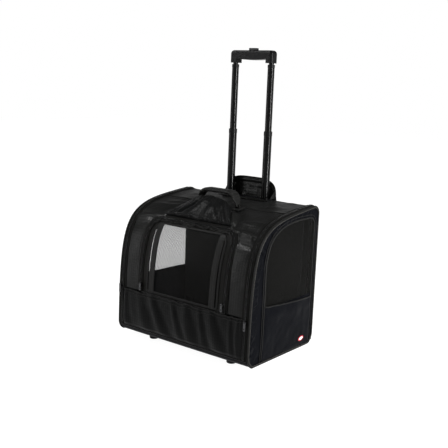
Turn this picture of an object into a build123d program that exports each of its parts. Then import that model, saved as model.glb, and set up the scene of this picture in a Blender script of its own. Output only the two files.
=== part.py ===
from build123d import *
from math import cos, radians, sin
import os

# A soft pet carrier on two wheels, in millimetres. +Z is up, -Y is the front with the mesh door,
# and the origin is on the floor under the middle of the bag.

# ---- driving dimensions -------------------------------------------------------------------------
BAG_WIDTH = 450.0          # over the two side panels
BAG_DEPTH = 296.0          # front face to back face of the fabric body
BAG_TOP = 398.0            # highest point of the fabric body
BAG_BASE = 15.0            # underside of the base tray, held off the floor by feet and wheels
FABRIC = 3.0               # padded fabric wall
LAYER_GAP = 0.2            # air between stacked layers
FRONT_CORNER_R = 30.0      # lower front edge
REAR_CORNER_R = 30.0       # lower rear edge
TOP_CORNER_R = 22.0        # upper rear edge
TOP_SLOPE = 5.5            # degrees that the roof falls towards the front
TRAY_TOP = 37.0            # top edge of the base tray
POCKET_TOP = 143.0         # top hem of the front pocket
ZIP_X = 211.5              # centre line of the side zips, from the middle of the bag
ZIP_TAPE = 11.0            # width of one half of a zip tape
TAPE_THICK = 1.2
COIL_WIDTH = 2.4
COIL_HEIGHT = 2.4

DOOR_HALF_WIDTH = 146.0    # zip line of the front door
DOOR_TOP = 345.0
DOOR_CORNER_R = 35.0
SEAM = 0.5                 # half of the gap along a side zip
DOOR_SEAM = 1.0            # half of the gap along the front door's zip, so the door swings clear
DOOR_MESH_HALF = 121.0
DOOR_MESH_LOW = 150.0
DOOR_MESH_HIGH = 333.0
DOOR_STRAP_X = 105.0
DOOR_STRAP_WIDTH = 19.0

WINDOW_FRONT_Y = -92.0     # arched window in each side door
WINDOW_BACK_Y = 131.0
WINDOW_LOW = 161.0
WINDOW_TOP = 371.0
WINDOW_CORNER_R = 26.0
MESH_THICK = 1.0

TUBE_X = 60.6              # trolley tubes, from the middle of the bag
TUBE_Y = 128.0
OUTER_TUBE = (26.4, 23.4)  # outside and inside diameters
MID_TUBE = (22.4, 20.0)
UPPER_TUBE = (18.9, 16.5)
INNER_TUBE = (14.0, 12.0)
MID_TRAVEL = 172.0
UPPER_TRAVEL = 170.0

GRIP_LENGTH = 143.0
GRIP_DEPTH = 28.0
GRIP_LOW = 778.0           # underside of the bar at its two ends
GRIP_BOW = 3.0             # how far the bar's underside swells down in the middle
GRIP_HIGH = 801.0
GRIP_CORNER_R = 10.0
GRIP_EDGE_R = 8.0
LEG_LOW = 767.0
LEG_WIDTH = 21.0

WHEEL_R = 30.0
WHEEL_X = 180.0
WHEEL_Y = 124.0
WHEEL_WIDTH = 24.0
AXLE_D = 6.0

FOOT_X = 137.0
FOOT_Y = -97.0

PULL_STAND = 9.0           # how far a zip pull's outer face stands off the bag

HALF_DEPTH = BAG_DEPTH / 2
HALF_WIDTH = BAG_WIDTH / 2
SIDES = (("left", -1), ("right", 1))

os.makedirs("parts", exist_ok=True)
finished = []


def keep(piece, label):
    """Labels a finished sub-part and writes it as one STEP file."""
    piece.part.label = label
    export_step(piece.part, f"parts/{label}.step")
    finished.append(label)


# ---- side outline of the bag, drawn with Y across and Z up --------------------------------------
SLOPE = radians(TOP_SLOPE)
CURVE_FOOT = BAG_BASE + FRONT_CORNER_R + 2.0
ROOF_CORNER = (HALF_DEPTH - TOP_CORNER_R, BAG_TOP - TOP_CORNER_R)
ROOF_REACH = 249.0         # length of the roof curve's control leg
ROOF_KNEE = 372.0          # height of the front curve's control leg
KNEE_FOLLOW = 0.52         # how far the two inner control points follow an inset


def roof_points(inset):
    """The four control points of the curve over the front and the roof."""
    radius = TOP_CORNER_R - inset
    end = (ROOF_CORNER[0] - radius * sin(SLOPE), ROOF_CORNER[1] + radius * cos(SLOPE))
    leg = ROOF_REACH - KNEE_FOLLOW * inset
    return (
        (-HALF_DEPTH + inset, CURVE_FOOT),
        (-HALF_DEPTH + inset, ROOF_KNEE - KNEE_FOLLOW * inset),
        (end[0] - leg * cos(SLOPE), end[1] - leg * sin(SLOPE)),
        end,
    )


def outline(inset=0.0):
    """The bag's side outline, moved inwards by inset, as a sketch."""
    foot, front_leg, roof_leg, end = roof_points(inset)
    front_y = -HALF_DEPTH + FRONT_CORNER_R
    rear_y = HALF_DEPTH - REAR_CORNER_R
    low = BAG_BASE + inset
    with BuildSketch() as face:
        with BuildLine():
            Line((front_y, low), (rear_y, low))
            CenterArc((rear_y, BAG_BASE + REAR_CORNER_R), REAR_CORNER_R - inset, -90, 90)
            Line((HALF_DEPTH - inset, BAG_BASE + REAR_CORNER_R), (HALF_DEPTH - inset, ROOF_CORNER[1]))
            CenterArc(ROOF_CORNER, TOP_CORNER_R - inset, 0, 90 + TOP_SLOPE)
            Bezier(end, roof_leg, front_leg, foot)
            Line(foot, (foot[0], BAG_BASE + FRONT_CORNER_R))
            CenterArc((front_y, BAG_BASE + FRONT_CORNER_R), FRONT_CORNER_R - inset, 180, 90)
        make_face()
    return face.sketch


def front_reach(z):
    """How far the front face stands out in front of the bag's middle at height z."""
    points = roof_points(0.0)
    low, high = 0.0, 1.0
    for _ in range(40):
        t = (low + high) / 2
        weights = ((1 - t) ** 3, 3 * t * (1 - t) ** 2, 3 * t * t * (1 - t), t ** 3)
        height = sum(w * p[1] for w, p in zip(weights, points))
        low, high = (t, high) if height < z else (low, t)
    return -sum(w * p[0] for w, p in zip(weights, points))


def window_outline(trim=0.0):
    """The arched opening of a side door, made smaller by trim all round, as a sketch."""
    front, back = WINDOW_FRONT_Y + trim, WINDOW_BACK_Y - trim
    low, high = WINDOW_LOW + trim, WINDOW_TOP - trim
    corner = WINDOW_CORNER_R - trim
    with BuildSketch() as face:
        with BuildLine():
            Line((front, low), (back, low))
            Line((back, low), (back, high - corner))
            CenterArc((back - corner, high - corner), corner, 0, 90)
            Line((back - corner, high), (70, high))
            Bezier((70, high), (-60 + KNEE_FOLLOW * trim, high - 1),
                   (front, 325 - KNEE_FOLLOW * trim), (front, 240))
            Line((front, 240), (front, low))
        make_face()
    return face.sketch


outlines = {}


def wall(x_low, x_high, low_y, low_z, high_y, high_z, depth=0.0, thick=FABRIC):
    """A strip of bag wall from x_low to x_high, kept inside the window low..high in Y and Z.
    depth is how far the wall's outer face lies inside the bag's outline."""
    for inset in (depth, depth + thick):
        if inset not in outlines:
            outlines[inset] = outline(inset)
    with BuildPart() as strip:
        with BuildSketch(Plane.YZ.offset(x_low)):
            add(outlines[depth])
            add(outlines[depth + thick], mode=Mode.SUBTRACT)
            with Locations(((low_y + high_y) / 2, (low_z + high_z) / 2)):
                Rectangle(high_y - low_y, high_z - low_z, mode=Mode.INTERSECT)
        extrude(amount=x_high - x_low)
    return strip.part


def door_prism(half_width, low, high, corner_r):
    """A block with rounded upper corners that cuts the front door's shape out of the front wall."""
    with BuildPart() as block:
        with BuildSketch(Plane.XZ.offset(0)) as face:
            with Locations((0, (low + high) / 2)):
                Rectangle(2 * half_width, high - low)
            fillet(face.vertices().group_by(Axis.Y)[-1], corner_r)
        extrude(amount=HALF_DEPTH + 20)
    return block.part


def prism_at(shift):
    """The door's cutting block, moved outwards from the zip line by shift."""
    return door_prism(
        DOOR_HALF_WIDTH + shift, POCKET_TOP - 20, DOOR_TOP + shift, DOOR_CORNER_R + shift
    )


FAR = 400.0                # beyond every face of the bag

# ---- fixed body: base ---------------------------------------------------------------------------
housing_low_x = WHEEL_X - 17.5
housing_high_x = WHEEL_X + 17.5

with BuildPart() as base_tray:
    add(wall(-221.8, 221.8, -FAR, 0, FAR, TRAY_TOP))
    for _, side in SIDES:
        with Locations((side * WHEEL_X, 87.5 + 50, 40)):
            Box(housing_high_x - housing_low_x + 1, 100, 80, mode=Mode.SUBTRACT)
        with Locations((side * FOOT_X, FOOT_Y, BAG_BASE)):
            Cylinder(2.2, 20, mode=Mode.SUBTRACT)
keep(base_tray, "base_tray")

with BuildPart() as base_board:
    with BuildSketch(Plane.XY.offset(18.3)) as board_face:
        with Locations((0, -20)):
            RectangleRounded(428, 200, 18)
        with Locations((0, 91)):
            Rectangle(312, 24)
        with Locations((-FOOT_X, FOOT_Y), (FOOT_X, FOOT_Y)):
            Circle(2.2, mode=Mode.SUBTRACT)
    extrude(amount=3.5)
    chamfer(base_board.edges().filter_by(GeomType.CIRCLE).group_by(Axis.Z)[-1], 0.3)
keep(base_board, "base_board")

with BuildPart() as floor_cushion:
    with BuildSketch(Plane.XY.offset(24.6)):
        with Locations((0, -25)):
            RectangleRounded(406, 218, 22)
    extrude(amount=12)
    fillet(floor_cushion.edges().group_by(Axis.Z)[-1], 5)
keep(floor_cushion, "floor_cushion")

with BuildPart() as front_feet:
    for _, side in SIDES:
        with BuildSketch(Plane.XY.offset(BAG_BASE - 0.1)):
            with Locations((side * FOOT_X, FOOT_Y)):
                Circle(13)
                Circle(2.2, mode=Mode.SUBTRACT)
        extrude(amount=-(BAG_BASE - 3.1))
    for _, side in SIDES:
        with BuildSketch(Plane.XY.offset(3.0)):
            with Locations((side * FOOT_X, FOOT_Y)):
                Circle(13)
        extrude(amount=-3.0)
    fillet(front_feet.edges().filter_by(GeomType.CIRCLE).group_by(Axis.Z)[0], 2.5)
keep(front_feet, "front_feet")

# ---- fixed body: front, roof and back -----------------------------------------------------------
band = ZIP_X - SEAM

with BuildPart() as front_panel:
    add(wall(-band, band, -FAR, TRAY_TOP + 0.3, 0, POCKET_TOP, depth=2.5 + LAYER_GAP))
keep(front_panel, "front_panel")

with BuildPart() as front_pocket:
    add(wall(-band, band, -FAR, TRAY_TOP + 0.3, 0, POCKET_TOP - 1, thick=2.5))
keep(front_pocket, "front_pocket")

SPLIT_Z = 300.0            # where the front columns meet the roof panel
column_low = POCKET_TOP + 0.3

with BuildPart() as front_columns:
    add(wall(-band, -100, -FAR, column_low, 0, SPLIT_Z))
    add(wall(100, band, -FAR, column_low, 0, SPLIT_Z))
    add(prism_at(DOOR_SEAM), mode=Mode.SUBTRACT)
keep(front_columns, "front_columns")

SLOT_HALF = 80.0           # opening in the roof that the trolley tubes pass through
SLOT_LOW_Y = 109.5
SLOT_HIGH_Y = 143.5

with BuildPart() as top_panel:
    add(wall(-band, band, -FAR, SPLIT_Z + 0.3, HALF_DEPTH - 8, FAR))
    add(wall(-band, band, HALF_DEPTH - 8, BAG_TOP - 50, FAR, FAR))
    add(prism_at(DOOR_SEAM), mode=Mode.SUBTRACT)
    with Locations((0, (SLOT_LOW_Y + SLOT_HIGH_Y) / 2, BAG_TOP)):
        Box(2 * SLOT_HALF, SLOT_HIGH_Y - SLOT_LOW_Y, 40, mode=Mode.SUBTRACT)
keep(top_panel, "top_panel")

KICK_RIVETS = [(x, z) for x in (-120, -40, 40, 120) for z in (60,)]

with BuildPart() as back_panel:
    add(wall(-band, band, 100, TRAY_TOP + 0.3, FAR, BAG_TOP - 50.3))
    for _, side in SIDES:
        with Locations((side * WHEEL_X, HALF_DEPTH, 0)):
            Box(housing_high_x - housing_low_x + 1, 60, 142, mode=Mode.SUBTRACT)
    for x, z in KICK_RIVETS:
        with Locations(Location((x, HALF_DEPTH, z), (90, 0, 0))):
            Cylinder(2.2, 20, mode=Mode.SUBTRACT)
keep(back_panel, "back_panel")

with BuildPart() as inner_back_board:
    with BuildSketch(Plane.XZ.offset(-108.5)):
        with Locations((0, 215)):
            RectangleRounded(410, 352, 12)
    extrude(amount=3)
    for _, side in SIDES:
        with Locations((side * WHEEL_X, 107, 37)):
            Box(housing_high_x - housing_low_x + 1, 20, 66, mode=Mode.SUBTRACT)
keep(inner_back_board, "inner_back_board")

with BuildPart() as frame_hoops:
    for _, side in SIDES:
        x = side * 208.5
        with BuildSketch(Plane.YZ.offset(x - 1.5)):
            add(outline(7.0))
            add(outline(10.0), mode=Mode.SUBTRACT)
            with Locations((0, 240)):
                Rectangle(FAR, 404, mode=Mode.INTERSECT)
        extrude(amount=3.0)
keep(frame_hoops, "frame_hoops")

with BuildPart() as kick_plate:
    with BuildSketch(Plane.XZ.offset(-(HALF_DEPTH + 0.2))):
        with Locations((0, 62)):
            RectangleRounded(300, 44, 8)
    extrude(amount=-2.0)
    fillet(kick_plate.edges().group_by(Axis.Y)[-1], 1.2)
    for x, z in KICK_RIVETS:
        with Locations(Location((x, HALF_DEPTH, z), (90, 0, 0))):
            Cylinder(2.2, 20, mode=Mode.SUBTRACT)
keep(kick_plate, "kick_plate")

with BuildPart() as fasteners:
    for x, z in KICK_RIVETS:
        with Locations(Location((x, HALF_DEPTH + 0.1, z), (90, 0, 0))):
            Cylinder(2.0, 8.0)
        with Locations(Location((x, HALF_DEPTH + 3.2, z), (90, 0, 0))):
            Cylinder(4.5, 1.8)
        with Locations(Location((x, HALF_DEPTH - 4.0, z), (90, 0, 0))):
            Cylinder(4.5, 1.6)
    for _, side in SIDES:
        with Locations((side * FOOT_X, FOOT_Y, 3.5)):
            Cylinder(2.0, 18.5, align=(Align.CENTER, Align.CENTER, Align.MIN))
        with Locations((side * FOOT_X, FOOT_Y, 22.0)):
            Cylinder(4.5, 2.0, align=(Align.CENTER, Align.CENTER, Align.MIN))
keep(fasteners, "fasteners")


# ---- zips ---------------------------------------------------------------------------------------
def side_zip(x_inner, x_outer, coil_inner, coil_outer, low_z):
    """One half of a side zip: flat tape with a raised coil along its closing edge."""
    with BuildPart() as half:
        add(wall(x_inner, x_outer, -FAR, low_z, FAR, FAR, depth=-TAPE_THICK, thick=TAPE_THICK))
        add(wall(coil_inner, coil_outer, -FAR, low_z, FAR, FAR, depth=-COIL_HEIGHT, thick=COIL_HEIGHT))
    return half.part


def door_zip(inner, outer, coil_inner, coil_outer):
    """One half of the front door's zip, an upside-down U between two offsets of the zip line."""
    with BuildPart() as half:
        add(wall(-160, 160, -FAR, column_low + 1, 0, FAR, depth=-TAPE_THICK, thick=TAPE_THICK))
        add(prism_at(outer), mode=Mode.INTERSECT)
        add(prism_at(inner), mode=Mode.SUBTRACT)
    with BuildPart() as coil:
        add(wall(-160, 160, -FAR, column_low + 1, 0, FAR, depth=-COIL_HEIGHT, thick=COIL_HEIGHT))
        add(prism_at(coil_outer), mode=Mode.INTERSECT)
        add(prism_at(coil_inner), mode=Mode.SUBTRACT)
    return half.part, coil.part


with BuildPart() as body_zip_tapes:
    for _, side in SIDES:
        edges = sorted((side * (band - ZIP_TAPE), side * band))
        coil = sorted((side * (band - COIL_WIDTH), side * band))
        add(side_zip(*edges, *coil, TRAY_TOP + 0.3))
    for piece in door_zip(DOOR_SEAM, DOOR_SEAM + 8, DOOR_SEAM, DOOR_SEAM + COIL_WIDTH):
        add(piece)
keep(body_zip_tapes, "body_zip_tapes")

# ---- side doors ---------------------------------------------------------------------------------
PANEL_INNER = HALF_WIDTH - FABRIC + 0.2

def slab(face, x_near, x_far, side):
    """A flat sheet between two distances from the middle of the bag, on the given side."""
    low, high = sorted((side * x_near, side * x_far))
    with BuildPart() as sheet:
        with BuildSketch(Plane.YZ.offset(low)):
            add(face)
        extrude(amount=high - low)
    return sheet.part


for name, side in SIDES:
    with BuildPart() as side_panel:
        add(slab(outline(), PANEL_INNER, HALF_WIDTH, side))
        add(slab(window_outline(), PANEL_INNER - 1, HALF_WIDTH + 1, side), mode=Mode.SUBTRACT)
        with Locations((side * HALF_WIDTH, 0, 10.3)):
            Box(20, 2 * FAR, 20.4, mode=Mode.SUBTRACT)
    keep(side_panel, f"side_panel_{name}")

    low, high = sorted((side * (ZIP_X + SEAM), side * (PANEL_INNER - 0.1)))
    with BuildPart() as side_flange:
        add(wall(low, high, -FAR, TRAY_TOP + 0.6, FAR, FAR))
    keep(side_flange, f"side_flange_{name}")

    coil = sorted((side * (ZIP_X + SEAM), side * (ZIP_X + SEAM + COIL_WIDTH)))
    with BuildPart() as side_zip_tape:
        add(side_zip(low, high, *coil, TRAY_TOP + 0.6))
    keep(side_zip_tape, f"side_zip_{name}")

    with BuildPart() as side_mesh:
        add(slab(window_outline(0.3), HALF_WIDTH - 2, HALF_WIDTH - 2 + MESH_THICK, side))
    keep(side_mesh, f"side_mesh_{name}")

    with BuildPart() as side_pocket:
        low, high = sorted((side * (HALF_WIDTH + 0.2), side * (HALF_WIDTH + 2.7)))
        with BuildSketch(Plane.YZ.offset(low)):
            with Locations(((WINDOW_FRONT_Y + WINDOW_BACK_Y) / 2, 96)):
                RectangleRounded(WINDOW_BACK_Y - WINDOW_FRONT_Y, 128, 8)
        extrude(amount=high - low)
    keep(side_pocket, f"side_pocket_{name}")

# ---- front door ---------------------------------------------------------------------------------
door_low = POCKET_TOP + 1.5


def mesh_prism(shift):
    """The block that cuts the mesh opening in the front door, moved outwards by shift."""
    return door_prism(
        DOOR_MESH_HALF + shift, DOOR_MESH_LOW - shift, DOOR_MESH_HIGH + shift, 24 + shift
    )


with BuildPart() as door_frame:
    add(wall(-160, 160, -FAR, door_low, 0, FAR))
    add(prism_at(-DOOR_SEAM), mode=Mode.INTERSECT)
    add(mesh_prism(0), mode=Mode.SUBTRACT)
keep(door_frame, "door_frame")

with BuildPart() as door_mesh:
    add(wall(-160, 160, -FAR, DOOR_MESH_LOW - 5, 0, FAR, depth=1.0, thick=MESH_THICK))
    add(mesh_prism(-0.3), mode=Mode.INTERSECT)
keep(door_mesh, "door_mesh")

with BuildPart() as door_straps:
    for _, side in SIDES:
        x_low = side * DOOR_STRAP_X - DOOR_STRAP_WIDTH / 2
        add(
            wall(x_low, x_low + DOOR_STRAP_WIDTH, -FAR, door_low + 1, 0, DOOR_MESH_HIGH + 1.5,
                 depth=-1.5, thick=1.3)
        )
keep(door_straps, "door_straps")

with BuildPart() as door_zip_tape:
    for piece in door_zip(-DOOR_SEAM - 8, -DOOR_SEAM, -DOOR_SEAM - COIL_WIDTH, -DOOR_SEAM):
        add(piece)
keep(door_zip_tape, "door_zip")


# ---- zip sliders and their pulls ----------------------------------------------------------------
PIVOT_OUT = 1.2            # the pull's pivot, in from its outer face
PIVOT_END = 2.0            # the pull's upper end, above its pivot
SLIDER_THICK = 2.6
SLIDER_BACK = 3.8          # the slider's outer face, in from the pull's outer face


def stand_off(facing, z):
    """Distance of a pull's outer face from the bag's middle plane. The low pulls share one reach."""
    sloped = facing < 0 and z > POCKET_TOP
    return PULL_STAND + (front_reach(z) if sloped else HALF_DEPTH)


def slider(x, facing, z):
    """A zip slider: a rounded body with a bridge that carries the pull, facing -1 front or 1 rear."""
    reach = stand_off(facing, z)
    outer = reach - SLIDER_BACK
    with BuildPart() as body:
        with Locations((x, facing * (outer - SLIDER_THICK / 2), z)):
            Box(7.0, SLIDER_THICK, 11)
        fillet(body.edges().filter_by(Axis.Y), 2.0)
        with Locations((x, facing * (outer + 1.0), z + 3.2)):
            Box(2.2, 2.4, 2.2)
        with Locations((x, facing * (reach - PIVOT_OUT), z + 3.2)):
            Cylinder(0.8, 6.4, rotation=(0, 90, 0))
    return body.part


def pull(x, facing, z, length=25.0):
    """A flat metal pull that hangs from the slider's pivot bar."""
    reach = stand_off(facing, z)
    bar_z = z + 3.2
    with BuildPart() as tab:
        with BuildSketch(Plane.XZ.offset(-facing * reach)):
            with Locations((x, bar_z + PIVOT_END - length / 2)):
                RectangleRounded(6.4, length, 1.8)
        extrude(amount=facing * 2 * PIVOT_OUT)
        with Locations((x, facing * (reach - PIVOT_OUT), bar_z)):
            Box(3.0, 10, 4.6, mode=Mode.SUBTRACT)
            Cylinder(0.9, 20, rotation=(0, 90, 0), mode=Mode.SUBTRACT)
        with Locations((x, facing * reach, bar_z - length + 8)):
            Cylinder(1.5, 10, rotation=(90, 0, 0), mode=Mode.SUBTRACT)
    return tab.part


SLIDER_X = ZIP_X + SEAM + 4.2
FRONT_SLIDER_Z = {"left": 148.0, "right": 136.0}
REAR_SLIDER_Z = 43.5
DOOR_SLIDER_X = DOOR_HALF_WIDTH - DOOR_SEAM - 4.2
DOOR_SLIDER_Z = 164.0

for name, side in SIDES:
    with BuildPart() as side_sliders:
        add(slider(side * SLIDER_X, -1, FRONT_SLIDER_Z[name]))
        add(slider(side * SLIDER_X, 1, REAR_SLIDER_Z))
    keep(side_sliders, f"side_sliders_{name}")

    with BuildPart() as front_pull:
        add(pull(side * SLIDER_X, -1, FRONT_SLIDER_Z[name]))
    keep(front_pull, f"zip_pull_front_{name}")

    with BuildPart() as rear_pull:
        add(pull(side * SLIDER_X, 1, REAR_SLIDER_Z, length=29.0))
    keep(rear_pull, f"zip_pull_rear_{name}")

    with BuildPart() as door_pull:
        add(pull(side * DOOR_SLIDER_X, -1, DOOR_SLIDER_Z, length=21.0))
    keep(door_pull, f"zip_pull_door_{name}")

with BuildPart() as door_sliders:
    for _, side in SIDES:
        add(slider(side * DOOR_SLIDER_X, -1, DOOR_SLIDER_Z))
keep(door_sliders, "door_sliders")

# ---- roof: rolled door cover, carry handle and cover flap ---------------------------------------
COVER_FRONT = -81.0        # front edge of the bunched door cover
COVER_REAR = -22.0         # its rear edge, in front of the carry handle
COVER_HALF = (98.0, 50.0)  # its half width at the front and at the rear
COVER_CREST = (373.0, 413.0)  # height of its top at the front and at the rear
COVER_SKY = 480.0          # above every part of it

with BuildPart() as rolled_cover:
    add(wall(-COVER_HALF[0], COVER_HALF[0], COVER_FRONT, 340, COVER_REAR, COVER_SKY, depth=-32.0, thick=31.4))
    with BuildSketch(Plane.YZ.offset(-FAR)):
        with BuildLine():
            Polyline(
                (COVER_FRONT, COVER_CREST[0]), (COVER_REAR, COVER_CREST[1]), (COVER_REAR, COVER_SKY),
                (COVER_FRONT - 20, COVER_SKY), (COVER_FRONT - 20, COVER_CREST[0]), close=True,
            )
        make_face()
    extrude(amount=2 * FAR, mode=Mode.SUBTRACT)
    for side in (-1, 1):
        with BuildSketch(Plane.XY.offset(300)):
            with BuildLine():
                Polyline(
                    (side * COVER_HALF[0], COVER_FRONT), (side * COVER_HALF[1], COVER_REAR),
                    (side * FAR, COVER_REAR + 1), (side * FAR, COVER_FRONT - 1), close=True,
                )
            make_face()
        extrude(amount=200, mode=Mode.SUBTRACT)
keep(rolled_cover, "rolled_cover")

HANDLE_HALF = 65.0
HANDLE_AXIS_Z = 391.5
HANDLE_TOP = 431.0
HANDLE_WIDTH = 32.0
HANDLE_THICK = 4.5
HANDLE_PIN_R = 1.6

with BuildPart() as carry_handle:
    with BuildSketch(Plane.XZ.offset(-HANDLE_WIDTH / 2)):
        with BuildLine():
            FilletPolyline(
                (-HANDLE_HALF, HANDLE_AXIS_Z),
                (-HANDLE_HALF + 9, HANDLE_TOP - HANDLE_THICK / 2),
                (HANDLE_HALF - 9, HANDLE_TOP - HANDLE_THICK / 2),
                (HANDLE_HALF, HANDLE_AXIS_Z),
                radius=20,
            )
        trace(line_width=HANDLE_THICK)
    extrude(amount=HANDLE_WIDTH)
    with BuildSketch(Plane.YZ.offset(-FAR / 2)):
        with BuildLine():
            Polyline(
                (-5, HANDLE_AXIS_Z - 3),
                (5, HANDLE_AXIS_Z - 3),
                (HANDLE_WIDTH / 2, HANDLE_AXIS_Z + 26),
                (HANDLE_WIDTH / 2, HANDLE_TOP + 5),
                (-HANDLE_WIDTH / 2, HANDLE_TOP + 5),
                (-HANDLE_WIDTH / 2, HANDLE_AXIS_Z + 26),
                close=True,
            )
        make_face()
    extrude(amount=FAR, mode=Mode.INTERSECT)
    with Locations((0, 0, HANDLE_AXIS_Z)):
        Cylinder(HANDLE_PIN_R + 0.08, FAR, rotation=(0, 90, 0), mode=Mode.SUBTRACT)
keep(carry_handle, "carry_handle")

with BuildPart() as handle_anchors:
    for _, side in SIDES:
        x_low = side * HANDLE_HALF - 14
        add(wall(x_low, x_low + 28, -17, 300, 17, FAR, depth=-2.2, thick=2.0))
        for near, far in ((-6.2, -3.8), (3.0, 5.4)):
            middle = side * HANDLE_HALF + side * (near + far) / 2
            with Locations((middle, 0, HANDLE_AXIS_Z)):
                Cylinder(4.0, far - near, rotation=(0, 90, 0))
            with Locations((middle, 0, HANDLE_AXIS_Z - 3.4)):
                Box(far - near, 8, 6.8)
        with Locations((side * (HANDLE_HALF - 0.4), 0, HANDLE_AXIS_Z)):
            Cylinder(HANDLE_PIN_R, 11.6, rotation=(0, 90, 0))
keep(handle_anchors, "handle_anchors")

FLAP_HALF = 86.0
FLAP_LOW = 389.0
FLAP_HIGH = 452.0
FLAP_FRONT = 145.0
GUSSET_LOW = 399.2

with BuildPart() as cover_flap:
    with BuildSketch(Plane.XZ.offset(-FLAP_FRONT)) as flap_face:
        with Locations((0, (FLAP_LOW + FLAP_HIGH) / 2)):
            Rectangle(2 * FLAP_HALF, FLAP_HIGH - FLAP_LOW)
        fillet(flap_face.vertices().group_by(Axis.Y)[-1], 30)
    extrude(amount=-FABRIC)
    for _, side in SIDES:
        inner, outer = sorted((side * (FLAP_HALF - FABRIC), side * FLAP_HALF))
        with BuildSketch(Plane.YZ.offset(inner)):
            with BuildLine():
                Polyline(
                    (122, GUSSET_LOW),
                    (FLAP_FRONT, GUSSET_LOW),
                    (FLAP_FRONT, GUSSET_LOW + 24),
                    close=True,
                )
            make_face()
        extrude(amount=outer - inner)
keep(cover_flap, "cover_flap")


# ---- trolley handle -----------------------------------------------------------------------------
def tube_pair(outside, inside, low, high):
    """Two equal round tubes at the trolley's two centres."""
    with BuildPart() as pair:
        with BuildSketch(Plane.XY.offset(low)):
            with Locations((-TUBE_X, TUBE_Y), (TUBE_X, TUBE_Y)):
                Circle(outside / 2)
                Circle(inside / 2, mode=Mode.SUBTRACT)
        extrude(amount=high - low)
    return pair.part


OUTER_LOW = 43.0
OUTER_HIGH = 394.0
MID_LOW = 340.0
MID_HIGH = 572.0
MID_COLLAR_HIGH = 584.0
UPPER_LOW = 530.0
UPPER_HIGH = 755.0
UPPER_COLLAR_HIGH = 763.0
INNER_LOW = 540.0
INNER_HIGH = 779.0
SLIDE_FIT = 0.1            # radial clearance of a tube in its bush

with BuildPart() as outer_tubes:
    add(tube_pair(*OUTER_TUBE, OUTER_LOW, OUTER_HIGH))
keep(outer_tubes, "outer_tubes")

with BuildPart() as tube_foot_bracket:
    with Locations((0, TUBE_Y, OUTER_LOW + 4)):
        Box(2 * TUBE_X + 40, 32, 14)
    fillet(tube_foot_bracket.edges().filter_by(Axis.Z), 6)
    with Locations((-TUBE_X, TUBE_Y, OUTER_LOW), (TUBE_X, TUBE_Y, OUTER_LOW)):
        Cylinder(OUTER_TUBE[0] / 2 + 0.05, 20, align=(Align.CENTER, Align.CENTER, Align.MIN),
                 mode=Mode.SUBTRACT)
    with Locations((0, TUBE_Y, OUTER_LOW + 11)):
        Box(70, 24, 8, mode=Mode.SUBTRACT)
keep(tube_foot_bracket, "tube_foot_bracket")

with BuildPart() as tube_top_bezel:
    with Locations((0, (SLOT_LOW_Y + SLOT_HIGH_Y) / 2, 391)):
        Box(2 * SLOT_HALF - 1, SLOT_HIGH_Y - SLOT_LOW_Y - 1, 14)
    fillet(tube_top_bezel.edges().filter_by(Axis.Z), 6)
    with Locations((-TUBE_X, TUBE_Y, OUTER_HIGH), (TUBE_X, TUBE_Y, OUTER_HIGH)):
        Cylinder(OUTER_TUBE[0] / 2 + 0.05, 40, align=(Align.CENTER, Align.CENTER, Align.MAX),
                 mode=Mode.SUBTRACT)
        Cylinder(MID_TUBE[0] / 2 + SLIDE_FIT, 40, mode=Mode.SUBTRACT)
keep(tube_top_bezel, "tube_top_bezel")

with BuildPart() as mid_tubes:
    add(tube_pair(*MID_TUBE, MID_LOW, MID_HIGH))
keep(mid_tubes, "mid_tubes")

with BuildPart() as mid_bushes:
    add(tube_pair(23.4, UPPER_TUBE[0] + 2 * SLIDE_FIT, MID_HIGH, MID_COLLAR_HIGH))
    add(tube_pair(MID_TUBE[1], UPPER_TUBE[0] + 2 * SLIDE_FIT, MID_HIGH - 14, MID_HIGH))
    add(tube_pair(OUTER_TUBE[1] - 2 * SLIDE_FIT, MID_TUBE[0], MID_LOW, MID_LOW + 15))
keep(mid_bushes, "mid_bushes")

with BuildPart() as upper_tubes:
    add(tube_pair(*UPPER_TUBE, UPPER_LOW, UPPER_HIGH))
keep(upper_tubes, "upper_tubes")

with BuildPart() as upper_bushes:
    add(tube_pair(19.9, INNER_TUBE[0] + 2 * SLIDE_FIT, UPPER_HIGH, UPPER_COLLAR_HIGH))
    add(tube_pair(UPPER_TUBE[1], INNER_TUBE[0] + 2 * SLIDE_FIT, UPPER_HIGH - 12, UPPER_HIGH))
    add(tube_pair(MID_TUBE[1] - 2 * SLIDE_FIT, UPPER_TUBE[0], UPPER_LOW, UPPER_LOW + 15))
keep(upper_bushes, "upper_bushes")

with BuildPart() as inner_tubes:
    add(tube_pair(*INNER_TUBE, INNER_LOW, INNER_HIGH))
keep(inner_tubes, "inner_tubes")

BUTTON_TRAVEL = 2.8
PRESSED_GAP = 0.4          # between the pressed link bar and the tubes' top ends
BAR_LOW = INNER_HIGH + BUTTON_TRAVEL + PRESSED_GAP
BAR_THICK = 2.5
SHELF_LOW = 785.2          # the shelf that the button's spring stands on
SHELF_HIGH = 786.8
BUTTON_LOW = 790.0
BUTTON_HIGH = 807.0
BUTTON_SIZE = (24.0, 16.0)
BUTTON_BORE = 9.4          # depth of the hole in the button that takes the spring
STEM_X = 9.5

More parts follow.
